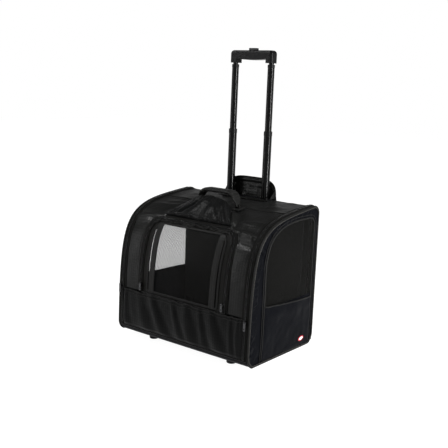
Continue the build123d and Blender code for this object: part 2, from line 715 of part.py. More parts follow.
grip_end = GRIP_LENGTH / 2
leg_inside = grip_end - LEG_WIDTH
with BuildPart() as grip:
    with BuildSketch(Plane.XZ.offset(-(TUBE_Y + GRIP_DEPTH / 2))) as grip_face:
        with BuildLine():
            Polyline((-leg_inside, GRIP_LOW), (-leg_inside, LEG_LOW), (-grip_end, LEG_LOW),
                     (-grip_end, GRIP_HIGH), (grip_end, GRIP_HIGH), (grip_end, LEG_LOW),
                     (leg_inside, LEG_LOW), (leg_inside, GRIP_LOW))
            ThreePointArc((leg_inside, GRIP_LOW), (0, GRIP_LOW - GRIP_BOW), (-leg_inside, GRIP_LOW))
        make_face()
        fillet(grip_face.vertices().group_by(Axis.Y)[-1], GRIP_CORNER_R)
    extrude(amount=GRIP_DEPTH)
    fillet(grip.edges().filter_by(GeomType.LINE).filter_by(Axis.X).group_by(Axis.Z)[-1], GRIP_EDGE_R)
    with Locations((-TUBE_X, TUBE_Y, LEG_LOW - 1), (TUBE_X, TUBE_Y, LEG_LOW - 1)):
        Cylinder(INNER_TUBE[0] / 2, INNER_HIGH - LEG_LOW + 1,
                 align=(Align.CENTER, Align.CENTER, Align.MIN), mode=Mode.SUBTRACT)
    with Locations((0, TUBE_Y, (INNER_HIGH + SHELF_LOW) / 2)):
        Box(2 * TUBE_X + 9, 9, SHELF_LOW - INNER_HIGH, mode=Mode.SUBTRACT)
    with Locations((0, TUBE_Y, SHELF_HIGH)):
        Box(BUTTON_SIZE[0] + 0.6, BUTTON_SIZE[1] + 0.6, 40,
            align=(Align.CENTER, Align.CENTER, Align.MIN), mode=Mode.SUBTRACT)
    with Locations((-STEM_X, TUBE_Y, SHELF_LOW - 1), (STEM_X, TUBE_Y, SHELF_LOW - 1)):
        Box(4.6, 6.6, 4, align=(Align.CENTER, Align.CENTER, Align.MIN), mode=Mode.SUBTRACT)
keep(grip, "grip")

with BuildPart() as release_button:
    with BuildSketch(Plane.XY.offset(BUTTON_LOW)):
        with Locations((0, TUBE_Y)):
            RectangleRounded(*BUTTON_SIZE, 3)
    extrude(amount=BUTTON_HIGH - BUTTON_LOW)
    fillet(release_button.edges().group_by(Axis.Z)[-1], 1.5)
    with Locations((0, TUBE_Y, BUTTON_LOW)):
        Cylinder(4.8, BUTTON_BORE, align=(Align.CENTER, Align.CENTER, Align.MIN), mode=Mode.SUBTRACT)
keep(release_button, "release_button")

with BuildPart() as release_link:
    with Locations((0, TUBE_Y, BAR_LOW)):
        Box(2 * TUBE_X + 6, 6, BAR_THICK, align=(Align.CENTER, Align.CENTER, Align.MIN))
    with Locations((-TUBE_X, TUBE_Y, 560), (TUBE_X, TUBE_Y, 560)):
        Cylinder(2, BAR_LOW - 560 + 1, align=(Align.CENTER, Align.CENTER, Align.MIN))
    with Locations((-STEM_X, TUBE_Y, BAR_LOW), (STEM_X, TUBE_Y, BAR_LOW)):
        Box(4, 6, BUTTON_LOW - BAR_LOW, align=(Align.CENTER, Align.CENTER, Align.MIN))
keep(release_link, "release_link")

SPRING_LENGTH = 12.0
SPRING_WIRE = 0.45
with BuildPart() as button_spring:
    with BuildLine() as coil_path:
        Helix(pitch=2.4, height=SPRING_LENGTH - 3 * SPRING_WIRE, radius=3.4,
              center=(0, TUBE_Y, SHELF_HIGH + 1.5 * SPRING_WIRE))
    with BuildSketch(Plane(origin=coil_path.line @ 0, z_dir=coil_path.line % 0)):
        Circle(SPRING_WIRE)
    sweep()
keep(button_spring, "button_spring")

# ---- wheels -------------------------------------------------------------------------------------
HOUSING_WALL = 3.0
WHEEL_GAP = 3.0

for name, side in SIDES:
    centre_x = side * WHEEL_X
    with BuildPart() as wheel_housing:
        with BuildSketch(Plane.YZ.offset(centre_x - 17)):
            with Locations((WHEEL_Y, WHEEL_R)):
                Circle(WHEEL_R + WHEEL_GAP + HOUSING_WALL)
            with Locations((WHEEL_Y + 12, WHEEL_R + 18)):
                Rectangle(24, 36)
            with Locations((WHEEL_Y - 12, BAG_BASE + 60.2)):
                Rectangle(71, 120, mode=Mode.INTERSECT)
        extrude(amount=34)
        with BuildSketch(Plane.YZ.offset(centre_x - 14)):
            with Locations((WHEEL_Y, WHEEL_R)):
                Circle(WHEEL_R + WHEEL_GAP)
            with Locations((WHEEL_Y + 20, WHEEL_R)):
                Rectangle(40, 2 * (WHEEL_R + WHEEL_GAP))
        extrude(amount=28, mode=Mode.SUBTRACT)
        with Locations((centre_x, WHEEL_Y, WHEEL_R)):
            Cylinder(AXLE_D / 2 + 0.02, 60, rotation=(0, 90, 0), mode=Mode.SUBTRACT)
    keep(wheel_housing, f"wheel_housing_{name}")

    with BuildPart() as wheel_hub:
        with Locations((centre_x, WHEEL_Y, WHEEL_R)):
            Cylinder(20, WHEEL_WIDTH - 2, rotation=(0, 90, 0))
            Cylinder(17, 40, rotation=(0, 90, 0), mode=Mode.SUBTRACT)
            Cylinder(17, 6, rotation=(0, 90, 0))
            Cylinder(6.5, WHEEL_WIDTH + 1, rotation=(0, 90, 0))
            Cylinder(AXLE_D / 2 + 0.05, 40, rotation=(0, 90, 0), mode=Mode.SUBTRACT)
        with Locations(Plane((centre_x, WHEEL_Y, WHEEL_R), x_dir=(0, 1, 0), z_dir=(1, 0, 0))):
            with PolarLocations(11.8, 5):
                Cylinder(3.4, 40, mode=Mode.SUBTRACT)
    keep(wheel_hub, f"wheel_hub_{name}")

    with BuildPart() as wheel_tyre:
        with Locations((centre_x, WHEEL_Y, WHEEL_R)):
            Cylinder(WHEEL_R, WHEEL_WIDTH, rotation=(0, 90, 0))
        fillet(wheel_tyre.edges(), 5)
        with Locations((centre_x, WHEEL_Y, WHEEL_R)):
            Cylinder(20.05, 60, rotation=(0, 90, 0), mode=Mode.SUBTRACT)
    keep(wheel_tyre, f"wheel_tyre_{name}")

with BuildPart() as axles:
    for _, side in SIDES:
        with Locations((side * WHEEL_X, WHEEL_Y, WHEEL_R)):
            Cylinder(AXLE_D / 2, 35, rotation=(0, 90, 0))
        for end in (-1, 1):
            with Locations((side * WHEEL_X + end * 18.3, WHEEL_Y, WHEEL_R)):
                Cylinder(5, 2, rotation=(0, 90, 0))
keep(axles, "axles")

print(len(finished), "nodes:", ", ".join(finished))
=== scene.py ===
import math

import bmesh
import bpy
import numpy as np
from mathutils import Matrix, Vector


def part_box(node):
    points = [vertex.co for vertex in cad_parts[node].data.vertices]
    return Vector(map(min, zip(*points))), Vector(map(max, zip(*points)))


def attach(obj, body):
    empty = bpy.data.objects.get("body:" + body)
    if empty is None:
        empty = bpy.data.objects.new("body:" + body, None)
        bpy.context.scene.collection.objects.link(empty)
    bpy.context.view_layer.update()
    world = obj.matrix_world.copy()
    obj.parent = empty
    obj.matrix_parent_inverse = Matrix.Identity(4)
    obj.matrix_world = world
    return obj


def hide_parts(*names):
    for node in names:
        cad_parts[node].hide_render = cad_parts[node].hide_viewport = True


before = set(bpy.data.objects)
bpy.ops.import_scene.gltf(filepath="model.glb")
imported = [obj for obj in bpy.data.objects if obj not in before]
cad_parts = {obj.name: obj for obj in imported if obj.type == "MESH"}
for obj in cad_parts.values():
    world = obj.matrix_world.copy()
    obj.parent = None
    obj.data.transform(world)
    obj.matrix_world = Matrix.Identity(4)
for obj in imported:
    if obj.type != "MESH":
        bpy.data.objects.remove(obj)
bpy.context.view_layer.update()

MM = 0.001

# ---- the bag's side outline in millimetres, as the frame has it ----
HALF_DEPTH, HALF_WIDTH, ROOF_TOP, BASE = 148.0, 225.0, 398.0, 15.0
CORNER_R, ROOF_R, SLOPE = 30.0, 22.0, math.radians(5.5)
ROOF_LEG, FRONT_KNEE = 249.0, 372.0     # the outline curve's control legs
BAND = 211.0                            # the body cloth's edge at the side zips
DOOR_X, DOOR_TOP, DOOR_LOW, DOOR_R = 146.0, 345.0, 143.3, 35.0
MESH_X, MESH_LOW, MESH_TOP = 121.0, 150.0, 333.0
WINDOW_FRONT, WINDOW_BACK, WINDOW_TOP, WINDOW_R = -92, 131, 371, 26
BAR_X = 105                             # the webbing bars of the front door
WHEEL_X, WHEEL_GAP = 180, 18            # the housings' cut-outs: middle and half width


def unit(v):
    """The same directions with a length of 1."""
    return v / np.linalg.norm(v, axis=-1, keepdims=True)


def arc(cy, cz, r, start, end, count):
    """Points of an arc round (cy, cz), with its two angles in degrees."""
    a = np.radians(np.linspace(start, end, count))
    return np.column_stack([cy + r * np.cos(a), cz + r * np.sin(a)])


def bezier(points, count):
    """Points of a cubic curve from its four control points."""
    t = np.linspace(0, 1, count)[:, None]
    p = np.array(points, float)
    return (1 - t) ** 3 * p[0] + 3 * t * (1 - t) ** 2 * p[1] + 3 * t * t * (1 - t) * p[2] + t**3 * p[3]


def even(points, step=1.0):
    """The same line with evenly spaced points, and how far along it each one is."""
    keep = np.concatenate([[True], np.linalg.norm(np.diff(points, axis=0), axis=1) > 1e-6])
    points = points[keep]
    run = np.concatenate([[0], np.cumsum(np.linalg.norm(np.diff(points, axis=0), axis=1))])
    s = np.linspace(0, run[-1], max(2, int(round(run[-1] / step)) + 1))
    return np.column_stack([np.interp(s, run, points[:, k]) for k in range(points.shape[1])]), s


roof_y, roof_z = HALF_DEPTH - ROOF_R, ROOF_TOP - ROOF_R
roof_end = (roof_y - ROOF_R * math.sin(SLOPE), roof_z + ROOF_R * math.cos(SLOPE))
roof_leg = (roof_end[0] - ROOF_LEG * math.cos(SLOPE), roof_end[1] - ROOF_LEG * math.sin(SLOPE))
low_z = BASE + CORNER_R
outline_parts = [
    arc(-HALF_DEPTH + CORNER_R, low_z, CORNER_R, 270, 180, 40),
    bezier([(-HALF_DEPTH, low_z + 2), (-HALF_DEPTH, FRONT_KNEE), roof_leg, roof_end], 600),
    arc(roof_y, roof_z, ROOF_R, 95.5, 0, 40),
    arc(HALF_DEPTH - CORNER_R, low_z, CORNER_R, 0, -90, 40),
]
OUTLINE, OUT_S = even(np.vstack(outline_parts))
tangent = unit(np.gradient(OUTLINE, axis=0))
OUT_N = np.column_stack([-tangent[:, 1], tangent[:, 0]])
TOP_I = int(OUTLINE[:, 1].argmax())


def s_front(z):
    """Distance along the outline of the point at height z on the front or the front of the roof."""
    return np.interp(z, OUTLINE[: TOP_I + 1, 1], OUT_S[: TOP_I + 1])


def s_roof(y):
    """The same for the point at depth y on the roof."""
    part = slice(int(OUTLINE[:, 0].argmin()), int(OUTLINE[:, 0].argmax()) + 1)
    return np.interp(y, OUTLINE[part, 0], OUT_S[part])


def s_back(z):
    """The same for the point at height z on the back."""
    part = slice(TOP_I, len(OUT_S))
    return np.interp(-np.asarray(z, float), -OUTLINE[part, 1], OUT_S[part])


def outline_y(s):
    return np.interp(s, OUT_S, OUTLINE[:, 0])


def outline_z(s):
    return np.interp(s, OUT_S, OUTLINE[:, 1])


def skin(x, s, d=0.0):
    """The point at x, a distance s along the outline, standing d outside it."""
    x, s, d = np.broadcast_arrays(np.asarray(x, float), s, d)
    y = outline_y(s) + d * np.interp(s, OUT_S, OUT_N[:, 0])
    z = outline_z(s) + d * np.interp(s, OUT_S, OUT_N[:, 1])
    return np.stack([x, y, z], axis=-1)


def outward(x, s):
    """The direction out of the bag at a point of its outline."""
    return skin(x, s, 1) - skin(x, s, 0)


def rail(low, step):
    """Even distances along the outline, over the roof, between the points at height low."""
    return np.arange(s_front(low), s_back(low), step)


# ---- shape tools ----
def noise(u, v=0.0, seed=1):
    """Smooth seeded noise from -1 to 1 with a cell of 1."""
    u, v = np.broadcast_arrays(np.asarray(u, float), np.asarray(v, float))
    table = np.random.RandomState(seed).uniform(-1, 1, (61, 61))
    i, j = np.floor(u).astype(int), np.floor(v).astype(int)
    a, b = u - i, v - j
    a, b = a * a * (3 - 2 * a), b * b * (3 - 2 * b)

    def t(p, q):
        return table[p % 61, q % 61]

    low = t(i, j) * (1 - a) + t(i + 1, j) * a
    high = t(i, j + 1) * (1 - a) + t(i + 1, j + 1) * a
    return low * (1 - b) + high * b


def ridge(d, width):
    return np.exp(-((np.asarray(d, float) / width) ** 2))


def ramp(v, low, high):
    """0 below low, 1 above high, smooth between."""
    t = np.clip((np.asarray(v, float) - low) / (high - low), 0, 1)
    return t * t * (3 - 2 * t)


def fold(u, v, a, b, width, height):
    """A fold along the line from a to b that fades out at both ends."""
    a, b = np.array(a, float), np.array(b, float)
    line = b - a
    t = ((u - a[0]) * line[0] + (v - a[1]) * line[1]) / (line @ line)
    off = (-(u - a[0]) * line[1] + (v - a[1]) * line[0]) / np.linalg.norm(line)
    return height * ridge(off, width) * ramp(t, -0.12, 0.25) * (1 - ramp(t, 0.75, 1.12))


def add(name, data):
    """A new object in the scene."""
    obj = bpy.data.objects.new(name, data)
    bpy.context.scene.collection.objects.link(obj)
    return obj


def make(name, shape, body, material, replaces=(), smooth=True):
    """A mesh piece in the frame, from (verts, faces) or (verts, faces, uv) in millimetres."""
    verts, faces, uv = (*shape, None)[:3]
    mesh = bpy.data.meshes.new(name)
    mesh.from_pydata((np.asarray(verts, float) * MM).tolist(), [], faces)
    if uv is not None:
        layer = mesh.uv_layers.new(name="weave")
        index = np.zeros(len(mesh.loops), np.int32)
        mesh.loops.foreach_get("vertex_index", index)
        layer.data.foreach_set("uv", (np.asarray(uv, float) * MM)[index].ravel())
    mesh.materials.append(material)
    mesh.polygons.foreach_set("use_smooth", [smooth] * len(mesh.polygons))
    mesh.update()
    obj = add(name, mesh)
    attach(obj, body)
    if replaces:
        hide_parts(*replaces)
    return obj


def along(points, closed=False):
    """The step from each point of a line, or row of a grid, to the next."""
    if closed:
        return np.roll(points, -1, axis=0) - np.roll(points, 1, axis=0)
    return np.gradient(points, axis=0)


def normals_of(points, closed=False):
    n = np.cross(along(points, closed), np.gradient(points, axis=1))
    return n / np.maximum(np.linalg.norm(n, axis=-1, keepdims=True), 1e-9)


def used_only(verts, faces, uv=None):
    """The vertices that faces use, the faces renumbered to match, and the same rows of uv."""
    used = np.unique(faces)
    remap = np.zeros(len(verts), int)
    remap[used] = np.arange(len(used))
    return verts[used], remap[faces].tolist(), None if uv is None else uv[used]


def shell(points, thick=1.6, keep=None, flip=False, closed=False, uv=None):
    """Vertices and faces of a sheet of cloth with a thickness, from a grid of points.
    keep marks the grid cells that are cloth. closed joins the last row to the first."""
    rows, cols = points.shape[:2]
    n = normals_of(points, closed) * (-1 if flip else 1)
    verts = np.vstack([points.reshape(-1, 3), (points - n * thick).reshape(-1, 3)])
    count = rows * cols
    cells = rows if closed else rows - 1
    if keep is None:
        keep = np.ones((cells, cols - 1), bool)
    i, j = np.nonzero(keep)
    a = i * cols + j
    b = ((i + 1) % rows) * cols + j
    quads = np.column_stack([a, b, b + 1, a + 1])
    if flip:
        quads = quads[:, ::-1]
    edges = np.vstack([quads[:, [k, (k + 1) % 4]] for k in range(4)])
    key = np.sort(edges, axis=1)
    key = key[:, 0].astype(np.int64) * count + key[:, 1]
    _, first, counts = np.unique(key, return_index=True, return_counts=True)
    rim = edges[first[counts == 1]]
    sides = np.column_stack([rim[:, 1], rim[:, 0], rim[:, 0] + count, rim[:, 1] + count])
    faces = np.vstack([quads, quads[:, ::-1] + count, sides])
    return used_only(verts, faces, None if uv is None else np.vstack([uv.reshape(-1, 2)] * 2))


def sweep(path, out, section, closed=False):
    """A solid of the given cross-section along a path. out is the section's second axis."""
    path = np.asarray(path, float)
    t = unit(along(path, closed))
    side = unit(np.cross(t, out))
    up = np.cross(side, t)
    sec = np.asarray(section, float)
    if sec.ndim == 2:
        sec = np.repeat(sec[None], len(path), axis=0)
    verts = path[:, None] + side[:, None] * sec[..., :1] + up[:, None] * sec[..., 1:]
    n, k = verts.shape[:2]
    faces = []
    for i in range(n if closed else n - 1):
        a, b = i * k, ((i + 1) % n) * k
        faces += [(a + j, b + j, b + (j + 1) % k, a + (j + 1) % k) for j in range(k)]
    if not closed:
        faces += [tuple(range(k)), tuple(range((n - 1) * k, n * k))[::-1]]
    return verts.reshape(-1, 3), faces


def oval(a, power):
    """Points of a rounded shape 2 across, at the angles a; a lower power is squarer."""
    turn = np.column_stack([np.cos(a), np.sin(a)])
    return np.sign(turn) * np.abs(turn) ** power


def ring(width, height, count=12, power=2.0):
    """A rounded cross-section; a higher power is squarer."""
    return oval(np.linspace(0, 2 * np.pi, count, endpoint=False), 2 / power) * (width / 2, height / 2)


def join(parts):
    """Several (verts, faces) as one."""
    verts, faces, base = [], [], 0
    for v, f, *_ in parts:
        verts.append(np.asarray(v, float))
        faces += [tuple(int(k) + base for k in face) for face in f]
        base += len(v)
    return np.vstack(verts), faces


TOOTH_PITCH = 2.0
TOOTH_WIDTH, TOOTH_HEIGHT, TOOTH_LENGTH = 2.9, 2.0, 1.25
TOOTH_TOP = (0.9, 0.6)          # a tooth's top against its foot, across and along


def teeth(path, out):
    """A zip's row of teeth along a path, each one a small block with a bevelled top."""
    line = even(np.hstack([path, out]), TOOTH_PITCH)[0]
    p, o = line[:, :3], unit(line[:, 3:])
    t = unit(along(p))
    side = np.cross(t, o)
    w, l = TOOTH_WIDTH / 2, TOOTH_LENGTH / 2
    foot = [(-w, -l, 0), (w, -l, 0), (w, l, 0), (-w, l, 0)]
    top = [(a * TOOTH_TOP[0], b * TOOTH_TOP[1], TOOTH_HEIGHT) for a, b, _ in foot]
    verts = np.concatenate([(p + side * a + t * b + o * c)[:, None] for a, b, c in foot + top], axis=1)
    quads = [(3, 2, 1, 0), (4, 5, 6, 7), (0, 1, 5, 4), (1, 2, 6, 5), (2, 3, 7, 6), (3, 0, 4, 7)]
    faces = [tuple(8 * i + k for k in q) for i in range(len(p)) for q in quads]
    return verts.reshape(-1, 3), faces


NET_PITCH, NET_WIRE, NET_THICK = 2.6, 0.45, 0.3


def netting(surface, us, vs, inside):
    """A square net of threads over surface(u, v), kept where inside(u, v) is true."""
    u, v = np.meshgrid(us, vs, indexing="ij")
    held = inside(u, v)
    h = NET_WIRE / 2
    corners = [surface(u + a, v + b) for a, b in ((-h, -h), (h, -h), (h, h), (-h, h))]
    n = normals_of(surface(u, v))
    count = u.size
    verts = [c.reshape(-1, 3) for c in corners + [c - n * NET_THICK for c in corners]]
    index = np.arange(count).reshape(u.shape)

    def at(cell, corner, low=False):
        return cell + count * (corner + (4 if low else 0))

    k = index[held]
    faces = [np.column_stack([at(k, c) for c in range(4)])]
    faces.append(np.column_stack([at(k, c, True) for c in (3, 2, 1, 0)]))
    for a, b, near, far in (
        (np.s_[:-1], np.s_[1:], (1, 2), (0, 3)),
        (np.s_[:, :-1], np.s_[:, 1:], (2, 3), (1, 0)),
    ):
        both = held[a] & held[b]
        p, q = index[a][both], index[b][both]
        faces.append(np.column_stack([at(p, near[0]), at(q, far[0]), at(q, far[1]), at(p, near[1])]))
        under = (p, near[1]), (q, far[1]), (q, far[0]), (p, near[0])
        faces.append(np.column_stack([at(cell, corner, True) for cell, corner in under]))
        for e, f in ((near[0], far[0]), (far[1], near[1])):
            first, last = (p, q) if e == near[0] else (q, p)
            faces.append(np.column_stack([at(last, f), at(first, e), at(first, e, True), at(last, f, True)]))
    return used_only(np.vstack(verts), np.vstack(faces))[:2]


# ---- materials ----
def material(name):
    mat = bpy.data.materials.new(name)
    mat.use_nodes = True
    return mat, mat.node_tree.nodes, mat.node_tree.links, mat.node_tree.nodes["Principled BSDF"]


def coordinates(nodes, kind):
    """The weave map of a cloth piece, or the place in the frame of any other piece."""
    if kind == "weave":
        node = nodes.new("ShaderNodeUVMap")
        node.uv_map = "weave"
        return node.outputs["UV"]
    return nodes.new("ShaderNodeTexCoord").outputs["Object"]


def put(node, **inputs):
    """Sets a node's inputs; an underscore stands for a space in their names."""
    for name, value in inputs.items():
        node.inputs[name.replace("_", " ")].default_value = value


def texture(nodes, links, place, kind, **inputs):
    """A texture node fed by place, with its inputs set."""
    node = nodes.new(f"ShaderNodeTex{kind}")
    put(node, **inputs)
    links.new(place, node.inputs["Vector"])
    return node


def dress(nodes, links, shader, color, contrast, tone, shine, wear, bump, depth, height):
    """Colour between two shades by tone, roughness between two values by wear, and bump by height."""
    tint = nodes.new("ShaderNodeValToRGB")
    for stop, share in zip(tint.color_ramp.elements, contrast):
        stop.color = (*[min(1, c * share) for c in color], 1)
    links.new(tone, tint.inputs["Fac"])
    links.new(tint.outputs["Color"], shader.inputs["Base Color"])
    polish = nodes.new("ShaderNodeMapRange")
    put(polish, To_Min=shine[0], To_Max=shine[1])
    links.new(wear, polish.inputs["Value"])
    links.new(polish.outputs["Result"], shader.inputs["Roughness"])
    relief = nodes.new("ShaderNodeBump")
    put(relief, Strength=bump, Distance=depth)
    links.new(height, relief.inputs["Height"])
    links.new(relief.outputs["Normal"], shader.inputs["Normal"])


MOTTLE = 0.25               # how much of a cloth's colour change is soft blotches
CLOTH_SPREAD = 0.08         # how far a cloth's roughness strays either way
THREAD_DEPTH, GRAIN_DEPTH = 0.0004, 0.0002


def cloth(name, color, pitch=1.6, rough=0.5, bump=0.5, kind="weave", sheen=0.008, gloss=0.16):
    """A plain weave: crossed threads, slight colour change between threads, and soft mottling.
    pitch is in millimetres, and the bands repeat every pi pitches."""
    mat, nodes, links, shader = material(name)
    place = coordinates(nodes, kind)
    weave = nodes.new("ShaderNodeMath")
    weave.operation = "MULTIPLY"
    for k, axis in enumerate(("X", "Y") if kind == "weave" else ("X", "Z")):
        wave = texture(nodes, links, place, "Wave", Scale=0.1 / (pitch * MM), Distortion=0.35, Detail=1.0)
        wave.wave_type, wave.bands_direction = "BANDS", axis
        links.new(wave.outputs["Fac"], weave.inputs[k])
    blotch = texture(nodes, links, place, "Noise", Scale=28, Detail=5).outputs["Fac"]
    mix = nodes.new("ShaderNodeMath")
    mix.operation = "MULTIPLY_ADD"
    links.new(blotch, mix.inputs[0])
    mix.inputs[1].default_value = MOTTLE
    links.new(weave.outputs[0], mix.inputs[2])
    threads = mix.outputs[0]
    shine = (rough - CLOTH_SPREAD, rough + CLOTH_SPREAD)
    dress(nodes, links, shader, color, (0.75, 1.3), threads, shine, blotch, bump, THREAD_DEPTH, threads)
    put(shader, Specular_IOR_Level=gloss, Sheen_Weight=sheen, Sheen_Roughness=0.4)
    return mat


def hard(name, color, rough=0.4, metallic=0.0, grain=600.0, bump=0.15, gloss=0.3, spread=0.08):
    """Moulded plastic, rubber or metal with a fine grain and uneven gloss."""
    mat, nodes, links, shader = material(name)
    place = coordinates(nodes, "object")
    fine = texture(nodes, links, place, "Noise", Scale=grain, Detail=3).outputs["Fac"]
    wide = texture(nodes, links, place, "Noise", Scale=18, Detail=4).outputs["Fac"]
    shine = (max(0.02, rough - spread), rough + spread)
    dress(nodes, links, shader, color, (0.8, 1.2), wide, shine, wide, bump, GRAIN_DEPTH, fine)
    put(shader, Metallic=metallic, Specular_IOR_Level=gloss)
    return mat


# the cloths' positional values are pitch, roughness, bump and the map that the weave follows
NYLON = cloth("nylon", (0.0031, 0.0032, 0.0030), pitch=2.4, rough=0.37, bump=0.9, gloss=0.11)
POCKET_NYLON = cloth("pocket_nylon", (0.0022, 0.0023, 0.0023), pitch=2.4, rough=0.42, bump=0.9, gloss=0.055)
# the sides, side pockets and base use the body nylon painted darker, as painted shade on the faces turned
# from the key light, with a slight blue tint
SIDE_NYLON_PAINTED_SHADE = cloth("side_nylon_painted_shade", (0.0015, 0.0017, 0.0025), rough=0.48, bump=0.5, sheen=0.003, gloss=0.02)
LINING = cloth("lining", (0.0042, 0.0042, 0.0036), rough=0.6, bump=0.3, gloss=0.07)
BINDING = cloth("binding", (0.0055, 0.0055, 0.0053), 1.2, 0.5, 0.4, "object", sheen=0.003, gloss=0.07)
WEBBING = cloth("webbing", (0.0045, 0.0045, 0.0042), 2.2, 0.5, 0.8, "object", gloss=0.10)
TAPE = cloth("zip_tape", (0.0028, 0.0028, 0.0024), 1.0, 0.62, 0.3, "object", gloss=0.05)
# a light grey cord beside the side piping: a painted highlight along the bag's side edges
PIPING_HIGHLIGHT = cloth("piping", (0.024, 0.023, 0.020), 1.0, 0.4, 0.3, "object", gloss=0.2)
NET = hard("net_thread", (0.005, 0.005, 0.0045), rough=0.55, grain=900, gloss=0.08)
COIL = hard("zip_coil", (0.004, 0.004, 0.004), rough=0.34, grain=900, gloss=0.2)
QUILT = cloth("cushion_cloth", (0.012, 0.012, 0.013), 1.8, 0.7, 0.5, "object", gloss=0.1)
TUBE = hard("tube_coating", (0.0008,) * 3, rough=0.17, grain=500, bump=0.02, gloss=0.09, spread=0.02)
MOULDED = hard("moulded_black", (0.0022, 0.0022, 0.0025), rough=0.36, grain=1400, bump=0.5, gloss=0.07)
BUTTON = hard("button_plastic", (0.004, 0.004, 0.0045), rough=0.36, grain=1200, bump=0.3, gloss=0.14)
RUBBER = hard("tyre_rubber", (0.008, 0.008, 0.008), rough=0.7, grain=900, bump=0.5, gloss=0.12)
STEEL = hard("bright_steel", (0.5, 0.5, 0.51), rough=0.28, metallic=1.0, grain=300, bump=0.05)
NICKEL = hard("dark_nickel", (0.05, 0.05, 0.052), rough=0.24, metallic=1.0, grain=300, bump=0.05)
BOARD = hard("stiffener_board", (0.006, 0.006, 0.0065), rough=0.6, grain=120, bump=0.3, gloss=0.08)
PATCH_WHITE = hard("patch_white", (0.62, 0.6, 0.6), rough=0.5, grain=500)
PATCH_RED = hard("patch_red", (0.30, 0.012, 0.02), rough=0.5, grain=500)

# the CAD pieces that stay as they are; a star stands for left and right
FINISHES = {
    MOULDED: "kick_plate tube_foot_bracket tube_top_bezel mid_bushes upper_bushes grip front_feet "
    "wheel_housing_* wheel_hub_*",
    BUTTON: "release_button",
    TUBE: "outer_tubes mid_tubes upper_tubes inner_tubes",
    RUBBER: "wheel_tyre_*",
    STEEL: "frame_hoops release_link button_spring axles fasteners",
    NICKEL: "side_sliders_* door_sliders zip_pull_front_* zip_pull_rear_* zip_pull_door_*",
    BOARD: "base_board inner_back_board",
    WEBBING: "handle_anchors",
}
for mat, names in FINISHES.items():
    whole = [name.replace("*", side) for name in names.split() for side in ("left", "right")]
    for node in sorted(set(whole)):
        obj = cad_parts[node]
        if not obj.material_slots:
            obj.data.materials.append(mat)
        for place in obj.material_slots:
            place.material = mat


# ---- door and window outlines ----
def door_loop(grow, low=DOOR_LOW, step=2.0):
    """The front door's zip line in (x, z), an upside-down U moved outwards by grow."""
    w, top, r = DOOR_X + grow, DOOR_TOP + grow, DOOR_R + grow
    left = np.array([(-w, low), (-w, top - r)])
    corner = arc(-w + r, top - r, r, 180, 90, 30)
    right = corner[::-1] * (-1, 1)
    return even(np.vstack([left, corner, right, left[::-1] * (-1, 1)]), step)[0]


def past_corner(x, z, half, top, r):
    """Whether points lie outside the rounded top corners of an opening."""
    dx, dz = np.abs(x) - (half - r), z - (top - r)
    return (dx > 0) & (dz > 0) & (np.hypot(dx, dz) > r)


def in_door(x, z, grow):
    w, top, r = DOOR_X + grow, DOOR_TOP + grow, DOOR_R + grow
    return (np.abs(x) < w) & (z < top) & ~past_corner(x, z, w, top, r)


def window_loop(trim=0.0, low=161.0):
    """The side door's arched window in (y, z), made smaller by trim."""
    front, back, top, r = WINDOW_FRONT + trim, WINDOW_BACK - trim, WINDOW_TOP - trim, WINDOW_R - trim
    arch = [(front, 240), (front, 325 - 0.52 * trim), (-60 + 0.52 * trim, top - 1), (70, top)]
    upright = [(front, low + trim), arch[0]]
    rear = [(back, low + trim)]
    return np.vstack([upright, bezier(arch, 120)[1:], arc(back - r, top - r, r, 90, 0, 24), rear])


def inside_loop(y, z, loop):
    """Whether points lie inside a closed loop, by crossings."""
    y, z = np.broadcast_arrays(y, z)
    hit = np.zeros(y.shape, bool)
    for (ay, az), (by, bz) in zip(loop, np.roll(loop, -1, axis=0)):
        if az == bz:
            continue
        cross = (az > z) != (bz > z)
        hit ^= cross & (y < (by - ay) * (z - az) / (bz - az) + ay)
    return hit


def surface_band(x, z, d=0.0):
    return skin(x, s_front(z), d)


def spokes(inner, outer, centre):
    """Pairs each point of a closed inner loop with the outer loop's point in the same direction from
    the centre. Both come back in order of angle."""
    angle_in = np.arctan2(*(inner - centre).T[::-1])
    angle_out = np.arctan2(*(outer - centre).T[::-1])
    inner, ai = inner[np.argsort(angle_in)], np.sort(angle_in)
    outer, ao = outer[np.argsort(angle_out)], np.sort(angle_out)
    turn = np.r_[ao[-1] - 2 * np.pi, ao, ao[0] + 2 * np.pi]
    full = np.vstack([outer[-1:], outer, outer[:1]])
    return inner, np.column_stack([np.interp(ai, turn, full[:, k]) for k in (0, 1)])


def centres(grid):
    """The value in the middle of each cell of a grid."""
    return (grid[:-1, :-1] + grid[1:, 1:]) / 2


# ---- body shell: front columns, roof and back in one piece ----
COLUMN_BEND = s_front(333)      # where the front columns' cloth bends towards the roof
SEAM_LOW = 37.4                 # height of the body cloth's lower seam


